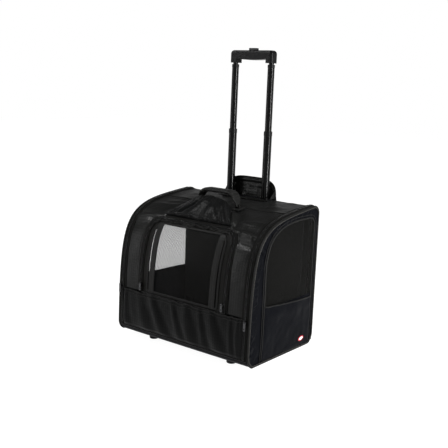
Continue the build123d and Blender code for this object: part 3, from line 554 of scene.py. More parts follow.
def body_relief(x, s):
    """How far the body's cloth stands off its outline."""
    ax = np.abs(x)
    y, z = outline_y(s), outline_z(s)
    front = s < s_front(392)
    d = 1.0 * noise(x / 46, s / 60, 3) + 0.5 * noise(x / 17, s / 21, 4)
    column = ramp(ax, 149, 160) * (1 - ramp(ax, 196, 206)) * front
    over = s - COLUMN_BEND + 4 * noise(x / 30, 0, 8) + 0.10 * (ax - 175)
    swell = column * np.where(x > 0, 1.0, 0.3)
    d = d + swell * (6.4 * ridge(over - 4, 10) - 3.0 * ridge(over + 17, 9) - 1.6 * ridge(over - 26, 14))
    d = d + column * 1.3 * np.sin(np.pi * (ax - 150) / 56) * (z < 330) * ramp(z, 143, 170)
    d = d + column * 1.1 * noise(x / 60, s / 13, 12) * (1 - ramp(z, 150, 190))
    roof = ramp(y, -80, -30) * (1 - ramp(y, 118, 146)) * (z > 300)
    d = d - roof * 3.0 * (1 - (ax / 214) ** 2)
    seam = s_roof(14)
    outer = ramp(ax, 70, 84)
    d = d - 2.0 * roof * ridge(s - seam - 3 * noise(x / 60, 2, 5), 1.8) * outer
    d = d + 1.8 * roof * ridge(s - seam - 7, 4.5) * outer + 1.0 * roof * ridge(s - seam + 6, 4) * outer
    for a, b, width, height in (
        ((60, -16), (120, -92), 6.5, 6.5),
        ((86, -10), (134, -88), 11, -3.2),
        ((122, -94), (204, -104), 5, 3.6),
        ((118, -70), (200, -58), 9, 1.8),
        ((76, 18), (150, 70), 9, 1.6),
        ((-60, -16), (-118, -90), 6, 5.5),
        ((-84, -14), (-140, -78), 10, -2.8),
        ((-120, -90), (-206, -100), 5.5, 4.0),
        ((-96, -30), (-196, -52), 9, 2.0),
        ((-80, 4), (-168, -22), 8, 1.6),
    ):
        d = d + fold(x, s, (a[0], s_roof(a[1])), (b[0], s_roof(b[1])), width, height)
    back = ramp(y, 140, 147.9) * (z < 376)
    d = d + back * (1.2 * noise(x / 70, s / 50, 11) - 2.0 * (1 - (ax / 214) ** 2))
    return d * (1 - ramp(ax, 204, 210) * 0.8)


def touching(cells):
    """The grid points at a corner of any of the marked cells."""
    spread = np.pad(cells, 1)
    return spread[:-1, :-1] | spread[1:, :-1] | spread[:-1, 1:] | spread[1:, 1:]


def body_shell():
    x, s = np.meshgrid(np.linspace(-BAND, BAND, 143), rail(SEAM_LOW, 3.0), indexing="ij")
    y, z = outline_y(s), outline_z(s)
    front = s < s_front(396)
    cx, cy, cz = centres(x), centres(y), centres(z)
    door = in_door(cx, cz, 1.0) & front[:-1, :-1] & (cz > DOOR_LOW)
    slot = (np.abs(cx) < 80) & (cy > 109.5) & (cy < 143.5) & (cz > 380)
    wheel = (np.abs(np.abs(cx) - WHEEL_X) < WHEEL_GAP) & (cy > 100) & (cz < 71)
    keep = ~(door | slot | wheel)
    # pull the door's rim onto its exact line
    loop = door_loop(1.0, step=0.7)
    rim = touching(keep) & touching(door) & (z > DOOR_LOW + 2)
    px, pz = x[rim], z[rim]
    near = ((px[:, None] - loop[None, :, 0]) ** 2 + (pz[:, None] - loop[None, :, 1]) ** 2).argmin(axis=1)
    x[rim] = loop[near, 0]
    s[rim] = s_front(loop[near, 1])
    d = body_relief(x, s)
    d = np.where((z < 143) & front, -4.0 + 2.0 * ramp(z, 130, 143), d) * np.where(rim, 0.3, 1.0)
    points = skin(x, s, d)
    cover = shell(points, 1.8, keep, uv=np.stack([x, s], -1))
    panels = ("front_panel", "front_columns", "top_panel", "back_panel")
    make("body_cloth", cover, "bag", NYLON, panels)


body_shell()


# ---- base: the tray's cloth and its piping ----
def base_skin():
    front = skin(0, np.linspace(s_front(37), 0, 16))[:, 1:]
    under = np.column_stack([np.linspace(-117, 117, 60), np.full(60, BASE)])
    rear = skin(0, np.linspace(OUT_S[-1], s_back(37), 16))[:, 1:]
    line, run = even(np.vstack([front, under, rear]), 4.0)
    xs = np.linspace(-221.6, 221.6, 120)
    points = np.zeros((len(xs), len(line), 3))
    points[..., 0] = xs[:, None]
    points[..., 1:] = line
    points[..., 2] -= 0.5 * noise(points[..., 0] / 40, points[..., 1] / 40, 7) * (points[..., 2] < 17)
    cx, cy = centres(points[..., 0]), centres(points[..., 1])
    keep = ~((np.abs(np.abs(cx) - WHEEL_X) < WHEEL_GAP) & (cy > 87))
    uv = np.stack(np.broadcast_arrays(points[..., 0], run[None]), -1)
    tray = shell(points[:, ::-1], 1.8, keep[:, ::-1], uv=uv[:, ::-1])
    # the base cloth is painted darker than the body nylon: painted shade
    make("base_cloth", tray, "bag", SIDE_NYLON_PAINTED_SHADE, ("base_tray",))
    pipes = []
    for where in (s_front(36), s_back(36)):
        line = skin(np.linspace(-221, 221, 90), where, 0.8)
        pipes.append(sweep(line, outward(0, where), ring(3.2, 3.2, 8)))
    make("base_piping", join(pipes), "bag", BINDING)


base_skin()


# ---- front pocket ----
POCKET_TOP = 142.0


def pocket_top(x):
    """The hem sags a little between its ends and waves along the elastic."""
    return POCKET_TOP - 1.0 + 1.6 * noise(np.asarray(x) / 26, 3, 21) + 0.9 * noise(np.asarray(x) / 9, 1, 22)


PLEATS = (
    (-200, -196, 9, 2.2),
    (-150, -118, 15, 3.6),
    (-104, -58, 13, 5.0),
    (-30, 6, 9, 3.0),
    (16, 40, 15, 5.0),
    (66, 84, 8, 3.2),
    (100, 132, 14, 4.6),
    (166, 172, 6, 2.4),
    (190, 191, 4, 2.4),
)


def pocket_relief(x, v):
    """v runs from 0 at the bottom seam to 1 at the hem."""
    d = 2.6 + 3.4 * np.sin(np.pi * np.clip(v, 0, 1)) ** 0.8 + 1.4 * noise(x / 52, v * 2.2 + x / 90, 30)
    lean = 1 - v
    for top, low, width, height in PLEATS:
        centre = top + (low - top) * lean
        spread = width * (0.75 + 0.75 * lean)
        rise = np.sin(np.pi * np.clip(v * 0.86 + 0.07, 0, 1)) ** 0.6
        d = d + height * ridge(x - centre, spread) * rise
        d = d - 0.5 * height * ridge(x - centre - spread * 1.7, spread * 0.8) * rise
    d = d + 0.8 * noise(x / 24, v * 5, 31) + 0.5 * noise(x / 8, v * 9, 32) * ramp(v, 0.55, 1.0)
    edge = ramp(211 - np.abs(x), 0, 14) * ramp(v, -0.02, 0.09)
    return 0.6 + (d - 0.6) * edge


def pocket():
    x, v = np.meshgrid(np.linspace(-210.6, 210.6, 212), np.linspace(0, 1, 54), indexing="ij")
    low = s_front(37.6)
    s = low + (s_front(pocket_top(x)) - low) * v
    front = shell(skin(x, s, pocket_relief(x, v)), 1.2, uv=np.stack([x, s], -1))
    piece = make("pocket_cloth", front, "bag", POCKET_NYLON, ("front_pocket",))
    # the elastic hem: a folded edge with two ridges
    x = np.linspace(-210, 206, 260)
    top = s_front(pocket_top(x))
    hems = []
    for drop, size in ((0.6, 3.4), (8.0, 2.2)):
        s = top - drop
        lift = pocket_relief(x, (s - low) / (top - low)) + 0.5 + 0.5 * noise(x / 5, drop, 35)
        hems.append(sweep(skin(x, s, lift), outward(x, s), ring(size, 2.4, 8)))
    make("pocket_hem", join(hems), "bag", BINDING)


pocket()


# ---- front door ----
def door_relief(x, z):
    d = 0.8 * noise(x / 34, z / 40, 41)
    top = ramp(z, 318, 340)
    return d + top * (2.0 + 2.2 * noise(x / 11, z / 30, 42))


def front_door():
    low = 144.8
    outer = door_loop(-1.2, low, 1.5)
    w, b, t, r = MESH_X, MESH_LOW, MESH_TOP, 24.0
    # both loops are closed along the bottom edge and matched by direction from the middle
    bottom = np.column_stack([np.linspace(outer[-1, 0], outer[0, 0], 120)[1:-1], np.full(118, low)])
    left = np.vstack([arc(-w + 6, b + 6, 6, 270, 180, 8), arc(-w + r, t - r, r, 180, 90, 24)])
    inner = np.vstack([left, left[::-1] * (-1, 1)])
    inner = even(np.vstack([inner, inner[:1]]), 1.5)[0][:-1]
    near, far = spokes(inner, np.vstack([outer, bottom]), np.array([0, 235.0]))
    vs = np.linspace(0, 1, 14)[:, None, None]
    flat = (near[None] * (1 - vs) + far[None] * vs).transpose(1, 0, 2)
    x, z = flat[..., 0], flat[..., 1]
    rim = np.minimum(vs[:, 0, 0], 1 - vs[:, 0, 0])[None] * 6
    points = surface_band(x, z, door_relief(x, z) * np.clip(rim, 0.2, 1))
    uv = np.stack([x, s_front(z)], -1)
    frame_cloth = shell(points, 1.6, closed=True, flip=True, uv=uv)
    make("door_cloth", frame_cloth, "front_door", LINING, ("door_frame",))

    lap = 1.5
    us = np.arange(-w - lap, w + lap + 0.1, NET_PITCH)
    zs = np.arange(s_front(b - lap), s_front(t + lap), NET_PITCH)

    def sheet(u, v):
        high = np.clip((v - zs[0]) / (zs[-1] - zs[0]), 0, 1)
        sag = 2.5 * np.clip(1 - (u / 122) ** 2, 0, 1) * np.sin(np.pi * high)
        return skin(u, v, -1.6 - sag)

    def inside(u, v):
        return ~past_corner(u, outline_z(v), w + lap, t + lap, r)

    net = netting(sheet, us, zs, inside)
    make("door_net", net, "front_door", NET, ("door_mesh",), smooth=False)

    # binding round the mesh, and the two webbing bars
    x, z = inner.T
    rim_line = sweep(surface_band(x, z, 0.9), outward(x, s_front(z)), ring(7.0, 2.2, 10, 3), closed=True)
    make("door_binding", rim_line, "front_door", BINDING)
    bars = []
    for side in (-1, 1):
        z = np.linspace(146.5, 333.5, 80)
        out = outward(0, s_front(z))
        path = surface_band(side * BAR_X + 0.8 * noise(z / 60, side, 44), z, 1.6)
        bars.append(sweep(path, out, ring(19, 1.5, 14, 6)))
        for edge in (-6.8, 6.8):
            bars.append(sweep(surface_band(side * BAR_X + edge, z, 2.3), out, ring(0.9, 0.7, 6)))
    make("door_bars", join(bars), "front_door", WEBBING, ("door_straps",))

    # ruffled edge along the top of the door
    x, z = door_loop(-7.0, 318, 1.0).T
    sway = 2.2 * noise(x / 5.0, 0, 46) + 1.0 * noise(x / 2.2, 3, 48)
    path = surface_band(x, z + sway, 3.0 + 1.8 * noise(x / 4, 1, 47))
    bunch = 1 + 0.45 * noise(x / 3.0, 2, 49)
    sections = np.stack([ring(4.6 * k, 3.8 * k, 10) for k in bunch])
    ruffle = sweep(path, outward(x, s_front(z)), sections)
    make("door_ruffle", ruffle, "front_door", BINDING)


front_door()


# ---- zips ----
TAPE_THICK = 0.9
TEETH_LOW = 38.5                # height of a side zip's lowest teeth
BODY_TAPE, BODY_TEETH = (200.5, 211), 209.8         # from the bag's middle
SIDE_TAPE, SIDE_TEETH = (212.2, 221.6), 213.2
DOOR_TAPE, DOOR_TEETH = (1.2, 9), 1.75              # from the door's zip line, to either side


def side_strip(x0, x1, low):
    x, s = np.meshgrid(np.linspace(min(x0, x1), max(x0, x1), 5), rail(low, 3.0), indexing="ij")
    return shell(skin(x, s, 1.2 + 0.35 * noise(s / 12, x / 10, 51)), TAPE_THICK)


def side_coil(x):
    ss = rail(TEETH_LOW, 2.0)
    return teeth(skin(x, ss, 1.0), outward(x, ss))


def door_strip(near, far):
    a, b = door_loop(near, 145.0), door_loop(far, 145.0)
    share, t = np.linspace(0, 1, len(a)), np.linspace(0, 1, len(b))
    b = np.column_stack([np.interp(share, t, b[:, k]) for k in (0, 1)])
    vs = np.linspace(0, 1, 4)[None, :, None]
    flat = a[:, None] * (1 - vs) + b[:, None] * vs
    return shell(surface_band(flat[..., 0], flat[..., 1], 1.4), TAPE_THICK, flip=near > far)


def door_coil(grow):
    x, z = door_loop(grow, 146.0, 1.5).T
    return teeth(surface_band(x, z, 0.9), outward(x, s_front(z)))


def zips():
    for name, side in (("left", -1), ("right", 1)):
        body = f"side_door_{name}"
        tape = side_strip(side * SIDE_TAPE[0], side * SIDE_TAPE[1], 37.7)
        make(f"side_zip_tape_{name}", tape, body, TAPE, (f"side_zip_{name}",))
        make(f"side_zip_teeth_{name}", side_coil(side * SIDE_TEETH), body, COIL)
    near, far = BODY_TAPE
    tapes = [side_strip(-far, -near, 37.6), side_strip(far, near, 37.6), door_strip(*DOOR_TAPE[::-1])]
    make("body_zip_tape", join(tapes), "bag", TAPE, ("body_zip_tapes",))
    rows = [side_coil(-BODY_TEETH), side_coil(BODY_TEETH), door_coil(DOOR_TEETH)]
    make("body_zip_teeth", join(rows), "bag", COIL)
    tape = door_strip(-DOOR_TAPE[0], -DOOR_TAPE[1])
    make("door_zip_tape", tape, "front_door", TAPE, ("door_zip",))
    make("door_zip_teeth", door_coil(-DOOR_TEETH), "front_door", COIL)


zips()


# ---- side doors ----
FULL_LOOP = np.vstack([OUTLINE, np.column_stack([np.linspace(117, -117, 118), np.full(118, BASE)])])


def edge_distance(y, z, loop):
    y, z = np.broadcast_arrays(np.asarray(y, float), np.asarray(z, float))
    flat = np.column_stack([y.ravel(), z.ravel()])
    best = np.full(len(flat), 1e9)
    for start in range(0, len(loop), 60):
        part = loop[start : start + 60]
        best = np.minimum(best, ((flat[:, None] - part[None]) ** 2).sum(-1).min(axis=1))
    return np.sqrt(best).reshape(y.shape)


def s_of(y, z):
    """Distance along the outline of the point nearest in angle round the bag's middle."""
    angle = np.arctan2(OUTLINE[:, 1] - 200, OUTLINE[:, 0] + 1e-9)
    turn = np.mod(-angle - np.pi / 2, 2 * np.pi)
    at = np.mod(-np.arctan2(z - 200, y + 1e-9) - np.pi / 2, 2 * np.pi)
    order = np.argsort(turn)
    return np.interp(at, turn[order], OUT_S[order])


def side_bulge(y, z):
    """How far the side stands out in its middle."""
    d = edge_distance(y, z, FULL_LOOP)
    return 5.0 * (1 - np.exp(-((d / 55) ** 2)))


WINDOW_MID = np.array([20.0, 262.0])


def side_door(name, side):
    body = f"side_door_{name}"
    flip = side < 0
    window = window_loop()
    closed = even(np.vstack([window, window[:1]]), 1.6)[0][:-1]
    near, far = spokes(closed, FULL_LOOP, WINDOW_MID)
    vs = np.concatenate([np.linspace(0, 0.3, 9), np.linspace(0.3, 1, 26)[1:]])
    flat = near[:, None] * (1 - vs[None, :, None]) + far[:, None] * vs[None, :, None]
    y, z = flat[..., 0], np.maximum(flat[..., 1], 20.6)
    gap = edge_distance(y, z, near)
    border = edge_distance(y, z, FULL_LOOP)
    run = np.concatenate([[0], np.cumsum(np.linalg.norm(np.diff(near, axis=0), axis=1))])[:, None]
    ruffle = s_of(y, z)
    strip = ramp(border, 5, 11) * (1 - ramp(border, 21, 29)) * (y < 120)
    tucks = 4.4 * np.maximum(noise(ruffle / 15, 0, 61 + side), -0.2)
    tucks = tucks + 1.7 * noise(ruffle / 6, border / 14, 62)
    lift = side_bulge(y, z) + tucks * strip + 0.7 * noise(y / 30, z / 30, 63)
    lift = lift + 0.5 * noise(run / 9, 3, 64) * np.clip(gap / 10, 0, 1) * (1 - ramp(gap, 18, 30))
    lift = lift + 1.2 * np.exp(-border / 9)
    points = np.stack([side * (HALF_WIDTH - 1.2 + lift), y, z], axis=-1)
    panel = shell(points, 1.6, closed=True, flip=not flip, uv=np.stack([y, z], -1))
    # the side cloth is painted darker than the body nylon: painted shade
    make(f"side_cloth_{name}", panel, body, SIDE_NYLON_PAINTED_SHADE, (f"side_panel_{name}",))

    # the flange that carries the zip
    x, s = np.meshgrid(side * np.linspace(212.2, 223.4, 5)[::side], rail(37.8, 3.0), indexing="ij")
    flange = shell(skin(x, s, 0.2 + 0.3 * noise(s / 14, x / 9, 64)), 1.6)
    make(f"side_flange_cloth_{name}", flange, body, NYLON, (f"side_flange_{name}",))

    # net
    loop = window_loop(-1.5)
    us = np.arange(-94.0, 133.5, NET_PITCH)
    zs = np.arange(159.5, 373.5, NET_PITCH)

    def sheet(u, v):
        return np.stack([side * (HALF_WIDTH - 1.8 + side_bulge(u, v)), u, v], axis=-1)

    net = netting(sheet, us, zs, lambda u, v: inside_loop(u, v, loop))
    make(f"side_net_{name}", net, body, NET, (f"side_mesh_{name}",), smooth=False)

    # piping on the bag's edge with a light cord beside it as a painted highlight, and the two lines of
    # binding round the window
    edge, _ = even(FULL_LOOP, 3.0)
    edge[:, 1] = np.maximum(edge[:, 1], 17.2)
    inward = unit(np.array([0.0, 210.0]) - edge)
    out = np.column_stack([np.full(len(edge), side * 1.0), -inward])
    for kind, x, inset, size, points, mat in (
        ("piping", 224.4, 0.6, (4.6, 4.6), 10, BINDING),
        # the light cord beside the piping is a painted highlight
        ("edge_highlight_cord", 226.3, 4.0, (1.7, 1.5), 8, PIPING_HIGHLIGHT),
    ):
        path = np.column_stack([np.full(len(edge), side * x), edge + inward * inset])
        cord = sweep(path, out, ring(*size, points), closed=True)
        make(f"side_{kind}_{name}", cord, body, mat)

    straight_out = [side * 1.0, 0, 0]
    lines = []
    for trim, width, height, lift in ((1.5, 5.0, 2.6, 0.6), (-6.5, 2.6, 2.4, 0.9)):
        arch = even(window_loop(trim, 24.0), 2.0)[0]
        wave = 0.5 * noise(np.arange(len(arch)) / 4.0, trim, 66)
        base = side_bulge(arch[:, 0], arch[:, 1]) + lift + wave
        path = np.column_stack([side * (HALF_WIDTH - 1.2 + base), arch])
        lines.append(sweep(path, straight_out, ring(width, height, 10)))
    make(f"window_binding_{name}", join(lines), body, BINDING)

    # side pocket, with an elastic hem that sags towards the back
    front, rear, floor = -90, 129, 23
    ys = np.linspace(front, rear, 88)
    y, v = np.meshgrid(ys, np.linspace(0, 1, 44), indexing="ij")
    top = np.interp(ys, [front, 13, rear], [167.0, 158.5, 151.5]) + 0.8 * noise(ys / 14, 0, 71)
    z = floor + (top[:, None] - floor) * v
    lift = 1.6 + side_bulge(y, z) + 1.1 * noise(y / 40, z / 34, 72) + 0.5 * noise(y / 13, z / 15, 73)
    lift = lift + 2.2 * ridge(v - 0.86, 0.1) + fold(y, z, (-60, 150), (70, 118), 13, 1.4)
    edge = ramp(np.minimum(y - front, rear - y), 0, 8) * ramp(v, 0, 0.05)
    lift = 0.6 + side_bulge(y, z) + (lift - side_bulge(y, z) - 0.6) * edge
    points = np.stack([side * (HALF_WIDTH + 0.4 + lift), y, z], axis=-1)
    pouch = shell(points, 1.2, flip=flip, uv=np.stack([y, z], -1))
    node = f"side_pocket_{name}"
    # the side pocket is painted darker than the body nylon: painted shade
    piece = make(f"side_pocket_cloth_{name}", pouch, body, SIDE_NYLON_PAINTED_SHADE, (node,))
    path = points[:, -1] + np.array([side * 0.3, 0, -0.6])
    hem = sweep(path, straight_out, ring(4.0, 2.6, 10))
    make(f"side_pocket_hem_{name}", hem, body, BINDING)


side_door("left", -1)
side_door("right", 1)


PATCH_Y, PATCH_Z, PATCH_TILT = 86, 43, math.radians(8)


def patch():
    """A small plain oval patch sewn on the right side pocket."""
    a = np.linspace(0, 2 * np.pi, 40, endpoint=False)
    n = len(a)
    cos, sin = math.cos(PATCH_TILT), math.sin(PATCH_TILT)
    for name, w, h, lift, mat in (
        ("patch_rim", 12.5, 6.6, 3.4, PATCH_RED),
        ("patch_face", 9.0, 4.0, 3.9, PATCH_WHITE),
    ):
        y = PATCH_Y + w * np.cos(a) * cos - h * np.sin(a) * sin
        z = PATCH_Z + w * np.cos(a) * sin + h * np.sin(a) * cos
        top = np.column_stack([HALF_WIDTH + lift + side_bulge(y, z), y, z])
        faces = [tuple(range(n)), tuple(range(n, 2 * n))[::-1]]
        faces += [(i, i + n, (i + 1) % n + n, (i + 1) % n) for i in range(n)]
        solid = np.vstack([top, top - [1.2, 0, 0]]), faces
        make(name, solid, "side_door_right", mat, smooth=False)


patch()


# ---- rolled door cover on the roof ----
def cover_roll():
    """The door's cloth cover, bunched up from the door's top edge to the carry handle."""
    u, v = np.meshgrid(np.linspace(-1, 1, 150), np.linspace(0, 1, 84), indexing="ij")
    front, crest, rear = s_roof(-88), s_roof(-25), s_roof(-14)
    share = np.clip(v / 0.82, 0, 1)
    s = np.where(v < 0.82, front + (crest - front) * share, crest + (rear - crest) * (v - 0.82) / 0.18)
    x = u * (120 - 60 * share**0.9)
    dome = np.clip(1 - np.abs(u) ** 2.8, 0, 1) ** 0.75
    d = (3.5 + 30.5 * share**0.85) * (0.28 + 0.72 * dome)
    for start, end, width, height in (
        ((-0.96, 0.10), (-0.58, 0.95), 0.085, 5.2),
        ((-0.78, 0.02), (-0.30, 0.80), 0.080, 4.4),
        ((-0.60, 0.12), (-0.34, 0.55), 0.050, -3.4),
        ((-0.36, 0.00), (-0.02, 0.72), 0.120, 2.4),
        ((0.14, 0.00), (0.30, 0.52), 0.110, 2.0),
        ((0.46, 0.06), (0.36, 0.85), 0.100, 2.6),
        ((0.66, 0.00), (0.60, 0.60), 0.050, -3.0),
        ((0.90, 0.05), (0.74, 0.90), 0.080, 5.4),
    ):
        d = d + fold(u, v, start, end, width, height)
    d = d + 2.4 * noise(u * 3, v * 3, 81) + 0.7 * noise(u * 7, v * 5, 82) + 0.3 * noise(u * 17, v * 9, 84)
    d = d + ridge(v - 0.035, 0.04) * (3.0 + 2.6 * noise(u * 15, 0, 83))
    rim = ramp(1 - np.abs(u), 0, 0.05) * ramp(v, -0.01, 0.03) * (1 - ramp(v, 0.84, 1.0))
    points = skin(x, s, 0.6 + np.clip(d, 0.6, 40) * (0.06 + 0.94 * rim))
    bunch = shell(points, 1.2, uv=np.stack([x, s], -1))
    piece = make("cover_bunch_cloth", bunch, "bag", POCKET_NYLON, ("rolled_cover",))


cover_roll()


# ---- carry handle ----
HANDLE_LOW, HANDLE_TOP, HANDLE_ROUND = 388.5, 425.6, 25.0


def handle_strap():
    """A flat strap that stands up at both ends, padded between, with a sewn line along each edge."""
    bends = np.array([(-65, HANDLE_LOW), (-56, HANDLE_TOP), (56, HANDLE_TOP), (65, HANDLE_LOW)], float)
    t = np.linspace(0, 1, 16)[:, None]
    rounds = []
    for a, p, b in zip(bends, bends[1:], bends[2:]):
        start, end = p + unit(a - p) * HANDLE_ROUND, p + unit(b - p) * HANDLE_ROUND
        rounds.append((1 - t) ** 2 * start + 2 * t * (1 - t) * p + t * t * end)
    line, run = even(np.vstack([bends[0], *rounds, bends[3]]), 2.0)
    share = run / run[-1]
    path = np.column_stack([line[:, 0], np.zeros(len(line)), line[:, 1]])
    out = np.cross(unit(along(path)), [0, -1.0, 0])
    near_end = np.minimum(share, 1 - share)
    wide = 14 + 19 * ramp(near_end, 0.02, 0.14)
    pad = 3.6 + 7.0 * ramp(near_end, 0.10, 0.24)
    sections = np.stack([ring(w, h, 24, 3.2) for w, h in zip(wide, pad)])
    sections[..., 1] += 0.35 * noise(run[:, None] / 9, sections[..., 0] / 6, 91) * (sections[..., 1] > 0)
    parts = [sweep(path, out, sections)]
    for edge in (-1, 1):
        across = np.outer(edge * (wide / 2 - 4), [0, 1.0, 0])
        seam = path + out * (pad / 2 - 0.1)[:, None] + across
        parts.append(sweep(seam[6:-6], out[6:-6], ring(1.0, 0.7, 6)))
    make("handle_strap", join(parts), "carry_handle", WEBBING, ("carry_handle",))


handle_strap()


# ---- cover flap ----
FLAP_HALF, FLAP_LOW, FLAP_TOP, FLAP_BACK = 85.5, 389.5, 451.0, 147.0


def flap_outline(inset=0.0):
    """The flap's free edge in (x, z), from its left foot over its arched top to its right foot."""
    size = (FLAP_HALF - inset, FLAP_TOP - inset - FLAP_LOW)
    return even(oval(np.linspace(np.pi, 0, 240), 0.55) * size + (0, FLAP_LOW), 2.0)[0]


def flap_y(x, z):
    u, v = x / FLAP_HALF, np.clip((z - FLAP_LOW) / 62, 0, 1)
    return FLAP_BACK + 1.4 * (1 - u**2) * v - 1.0 * noise(u * 3, v * 3, 95) * v - 3.0 * u**4 * ramp(v, 0, 0.3)


def flap():
    edge = flap_outline()
    share = np.linspace(0.02, 1, 34)[None, :, None]
    foot = np.column_stack([edge[:, 0] * 0.9, np.full(len(edge), FLAP_LOW)])
    flat = foot[:, None] * (1 - share) + edge[:, None] * share
    x, z = flat[..., 0], flat[..., 1]
    rim = np.linalg.norm(flat - edge[:, None], axis=-1)
    pad = 2.0 * ridge(rim - 7, 5) - 1.4 * ridge(rim - 15.5, 2.2)
    pad = pad + 1.6 * noise(x / 15, z / 12, 96) * ramp(rim, 14, 22)
    points = np.stack([x, flap_y(x, z) - pad, z], -1)
    panel = shell(points, 2.2, uv=np.stack([x, z], -1))
    make("flap_cloth", panel, "cover_flap", NYLON, ("cover_flap",))
    parts = []
    for inset, size, lift in ((0.0, 3.8, 0.6), (4.6, 1.6, 2.6)):
        x, z = flap_outline(inset).T
        wave = 0.4 * noise(x / 7, inset, 97)
        path = np.column_stack([x, flap_y(x, z) - lift - wave, z])
        parts.append(sweep(path, [0, -1.0, 0], ring(size, size, 10)))
    a, b = np.meshgrid(np.linspace(0, 1, 16), np.linspace(0, 1, 12), indexing="ij")
    for side in (-1, 1):
        rise = 24.6 - 24 * a
        gusset = np.stack([side * (84.5 - 2 * a), 145 - 22 * a, 399.4 + rise * b], -1)
        parts.append(shell(gusset, 1.6, flip=side > 0))
    make("flap_edge", join(parts), "cover_flap", BINDING)
    # the zip that closes the flap over the folded trolley, along the roof in front of the tubes
    xs = np.linspace(-84, 84, 90)
    lines = []
    for y, width in ((103.5, 5.0), (106.6, 2.4)):
        lines.append(sweep(skin(xs, s_roof(y), 0.4), outward(xs, s_roof(y)), ring(width, 2.2, 10)))
    make("flap_zip_tape", join(lines), "bag", TAPE)


flap()


# ---- floor cushion ----
CUSHION_LOW, CUSHION_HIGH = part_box("floor_cushion")
CUSHION_VOXEL, CUSHION_FRAMES, CUSHION_CAP = 0.006, 20, 0.007
QUILT_DEPTH = 0.0026


def cushion_blank():
    """The pad's two cloth faces before filling: a thin slab with rounded corners in plan."""
    low, high = Vector(CUSHION_LOW), Vector(CUSHION_HIGH)
    middle, half = (low + high) / 2, (high - low) / 2 - Vector((0.003, 0.003, 0.0022))
    mesh = bpy.data.meshes.new("cushion_blank")
    shape = bmesh.new()
    bmesh.ops.create_cube(shape, size=2.0)
    bmesh.ops.scale(shape, verts=shape.verts, vec=half)
    upright = [e for e in shape.edges if abs(e.verts[0].co.z - e.verts[1].co.z) > half.z]
    bmesh.ops.bevel(shape, geom=upright, offset=0.022, segments=6, affect="EDGES", profile=0.5)
    bmesh.ops.translate(shape, verts=shape.verts, vec=middle)
    shape.to_mesh(mesh)
    shape.free()
    return mesh


def evaluated(obj):
    return obj.evaluated_get(bpy.context.evaluated_depsgraph_get())


def inflate(obj):
    """Fills a closed cloth by a pressure simulation; no point ends up further than the cap."""
    filling = obj.modifiers.new("filling", "CLOTH")
    settings = filling.settings
    settings.quality = 5
    settings.mass = 0.15
    settings.tension_stiffness = settings.compression_stiffness = 12
    settings.bending_stiffness = 0.4
    settings.use_pressure = True
    settings.uniform_pressure_force = 4.0
    settings.effector_weights.gravity = 0.0
    filling.collision_settings.use_collision = False
    scene = bpy.context.scene
    for number in range(1, CUSHION_FRAMES + 1):
        scene.frame_set(number)
    filled = evaluated(obj).to_mesh()
    blown = np.array([v.co for v in filled.vertices])
    obj.to_mesh_clear()
    obj.modifiers.remove(filling)
    scene.frame_set(1)
    rest = np.array([v.co for v in obj.data.vertices])
    move = blown - rest
    length = np.linalg.norm(move, axis=1, keepdims=True)
    return rest + move * np.minimum(1, CUSHION_CAP / np.maximum(length, 1e-9))


def cushion():
    """A thin quilted pad: filled by simulation, then flattened underneath and sewn down in squares."""
    obj = add("cushion_pad", cushion_blank())
    remesh = obj.modifiers.new("remesh", "REMESH")
    remesh.mode, remesh.voxel_size = "VOXEL", CUSHION_VOXEL
    even_mesh = bpy.data.meshes.new_from_object(evaluated(obj))
    obj.modifiers.remove(remesh)
    obj.data = even_mesh
    points = inflate(obj)
    low, high = np.array(CUSHION_LOW), np.array(CUSHION_HIGH)
    share = (points - low) / (high - low)
    top = ramp(share[:, 2], 0.45, 0.8)
    for line in (0.25, 0.5, 0.75):
        points[:, 2] -= QUILT_DEPTH * top * ridge(share[:, 0] - line, 0.012)
    points[:, 2] -= QUILT_DEPTH * top * ridge(share[:, 1] - 0.5, 0.022)
    points[:, 2] += 0.0004 * top * noise(points[:, 0] / 0.03, points[:, 1] / 0.03, 97)
    points = np.clip(points, low - (0.002, 0.002, 0), high + (0.002, 0.002, 0.004))
    even_mesh.vertices.foreach_set("co", points.ravel())
    even_mesh.polygons.foreach_set("use_smooth", [True] * len(even_mesh.polygons))
    even_mesh.materials.append(QUILT)
    even_mesh.update()
    finer = obj.modifiers.new("finer", "SUBSURF")
    finer.levels = finer.render_levels = 1
    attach(obj, "bag")
    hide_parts("floor_cushion")


cushion()

# ---- floor, light and camera ----
floor_mesh = bpy.data.meshes.new("floor")
floor_mesh.from_pydata([(-9, -9, 0), (9, -9, 0), (9, 9, 0), (-9, 9, 0)], [], [(0, 1, 2, 3)])
floor = add("floor", floor_mesh)
floor_mat, _, _, floor_shader = material("floor_white")
put(floor_shader, Base_Color=(0.22, 0.22, 0.22, 1), Roughness=0.9, Specular_IOR_Level=0.1)
put(floor_shader, Emission_Color=(1, 1, 1, 1), Emission_Strength=0.96)
floor_mesh.materials.append(floor_mat)

bpy.context.scene.view_settings.view_transform = "Standard"


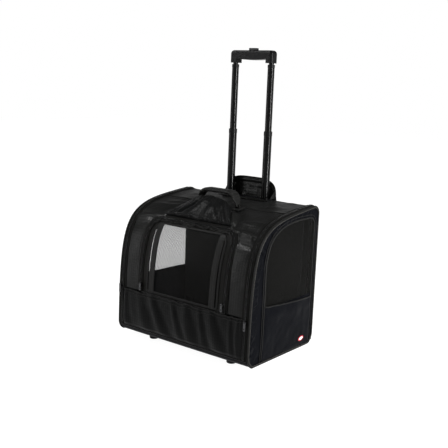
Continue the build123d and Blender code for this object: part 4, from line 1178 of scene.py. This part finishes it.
def studio_world():
    """White round the horizon, where the backdrop is, and dim overhead."""
    world = bpy.data.worlds.new("studio")
    bpy.context.scene.world = world
    world.use_nodes = True
    nodes, links = world.node_tree.nodes, world.node_tree.links
    place = nodes.new("ShaderNodeTexCoord")
    split = nodes.new("ShaderNodeSeparateXYZ")
    fall = nodes.new("ShaderNodeMapRange")
    fall.interpolation_type = "SMOOTHSTEP"
    put(fall, From_Min=0.13, From_Max=0.30, To_Min=1.0, To_Max=0.14)
    links.new(place.outputs["Generated"], split.inputs["Vector"])
    links.new(split.outputs["Z"], fall.inputs["Value"])
    links.new(fall.outputs["Result"], nodes["Background"].inputs["Strength"])
    put(nodes["Background"], Color=(1, 1, 1, 1))


studio_world()


def softbox(name, place, aim, size, watts):
    data = bpy.data.lights.new(name, "AREA")
    data.shape, data.size, data.size_y = "RECTANGLE", size[0], size[1]
    data.energy = watts
    lamp = add(name, data)
    lamp.location = place
    lamp.rotation_euler = (Vector(aim) - Vector(place)).to_track_quat("-Z", "Y").to_euler()


softbox("key", (-1.0, -0.95, 2.1), (0, 0, 0.35), (0.5, 0.5), 34)
softbox("strip_right", (2.2, -0.15, 0.85), (0, 0.1, 0.5), (0.15, 1.7), 112)
softbox("strip_left", (-1.7, -1.9, 0.8), (0, 0, 0.3), (0.3, 1.4), 16)
softbox("top", (0.5, 0.9, 2.4), (0, 0.1, 0.35), (0.9, 0.6), 16)

# the camera's place, as fitted to the bag's edges
AZ, EL, ROLL, DIST = math.radians(37.90), math.radians(10.50), math.radians(2.25), 2.087
AIM_HEIGHT, OFF_X, OFF_Y = 0.2, 0.0208, 0.1306
SENSOR, FOCAL = 36.0, 759.0 / 448.0     # sensor width in mm, and the lens as a share of it
back = Vector((math.sin(AZ) * math.cos(EL), -math.cos(AZ) * math.cos(EL), math.sin(EL)))
flat_right = Vector((math.cos(AZ), math.sin(AZ), 0))
flat_up = back.cross(flat_right)
right = math.cos(ROLL) * flat_right + math.sin(ROLL) * flat_up
up = -math.sin(ROLL) * flat_right + math.cos(ROLL) * flat_up
camera_data = bpy.data.cameras.new("camera")
camera_data.sensor_width = SENSOR
camera_data.lens = FOCAL * SENSOR
camera_data.clip_end = 50
camera = add("camera", camera_data)
turn = Matrix((right, up, back)).transposed().to_4x4()
turn.translation = Vector((0, 0, AIM_HEIGHT)) + back * DIST + right * OFF_X + up * OFF_Y
camera.matrix_world = turn
bpy.context.scene.camera = camera
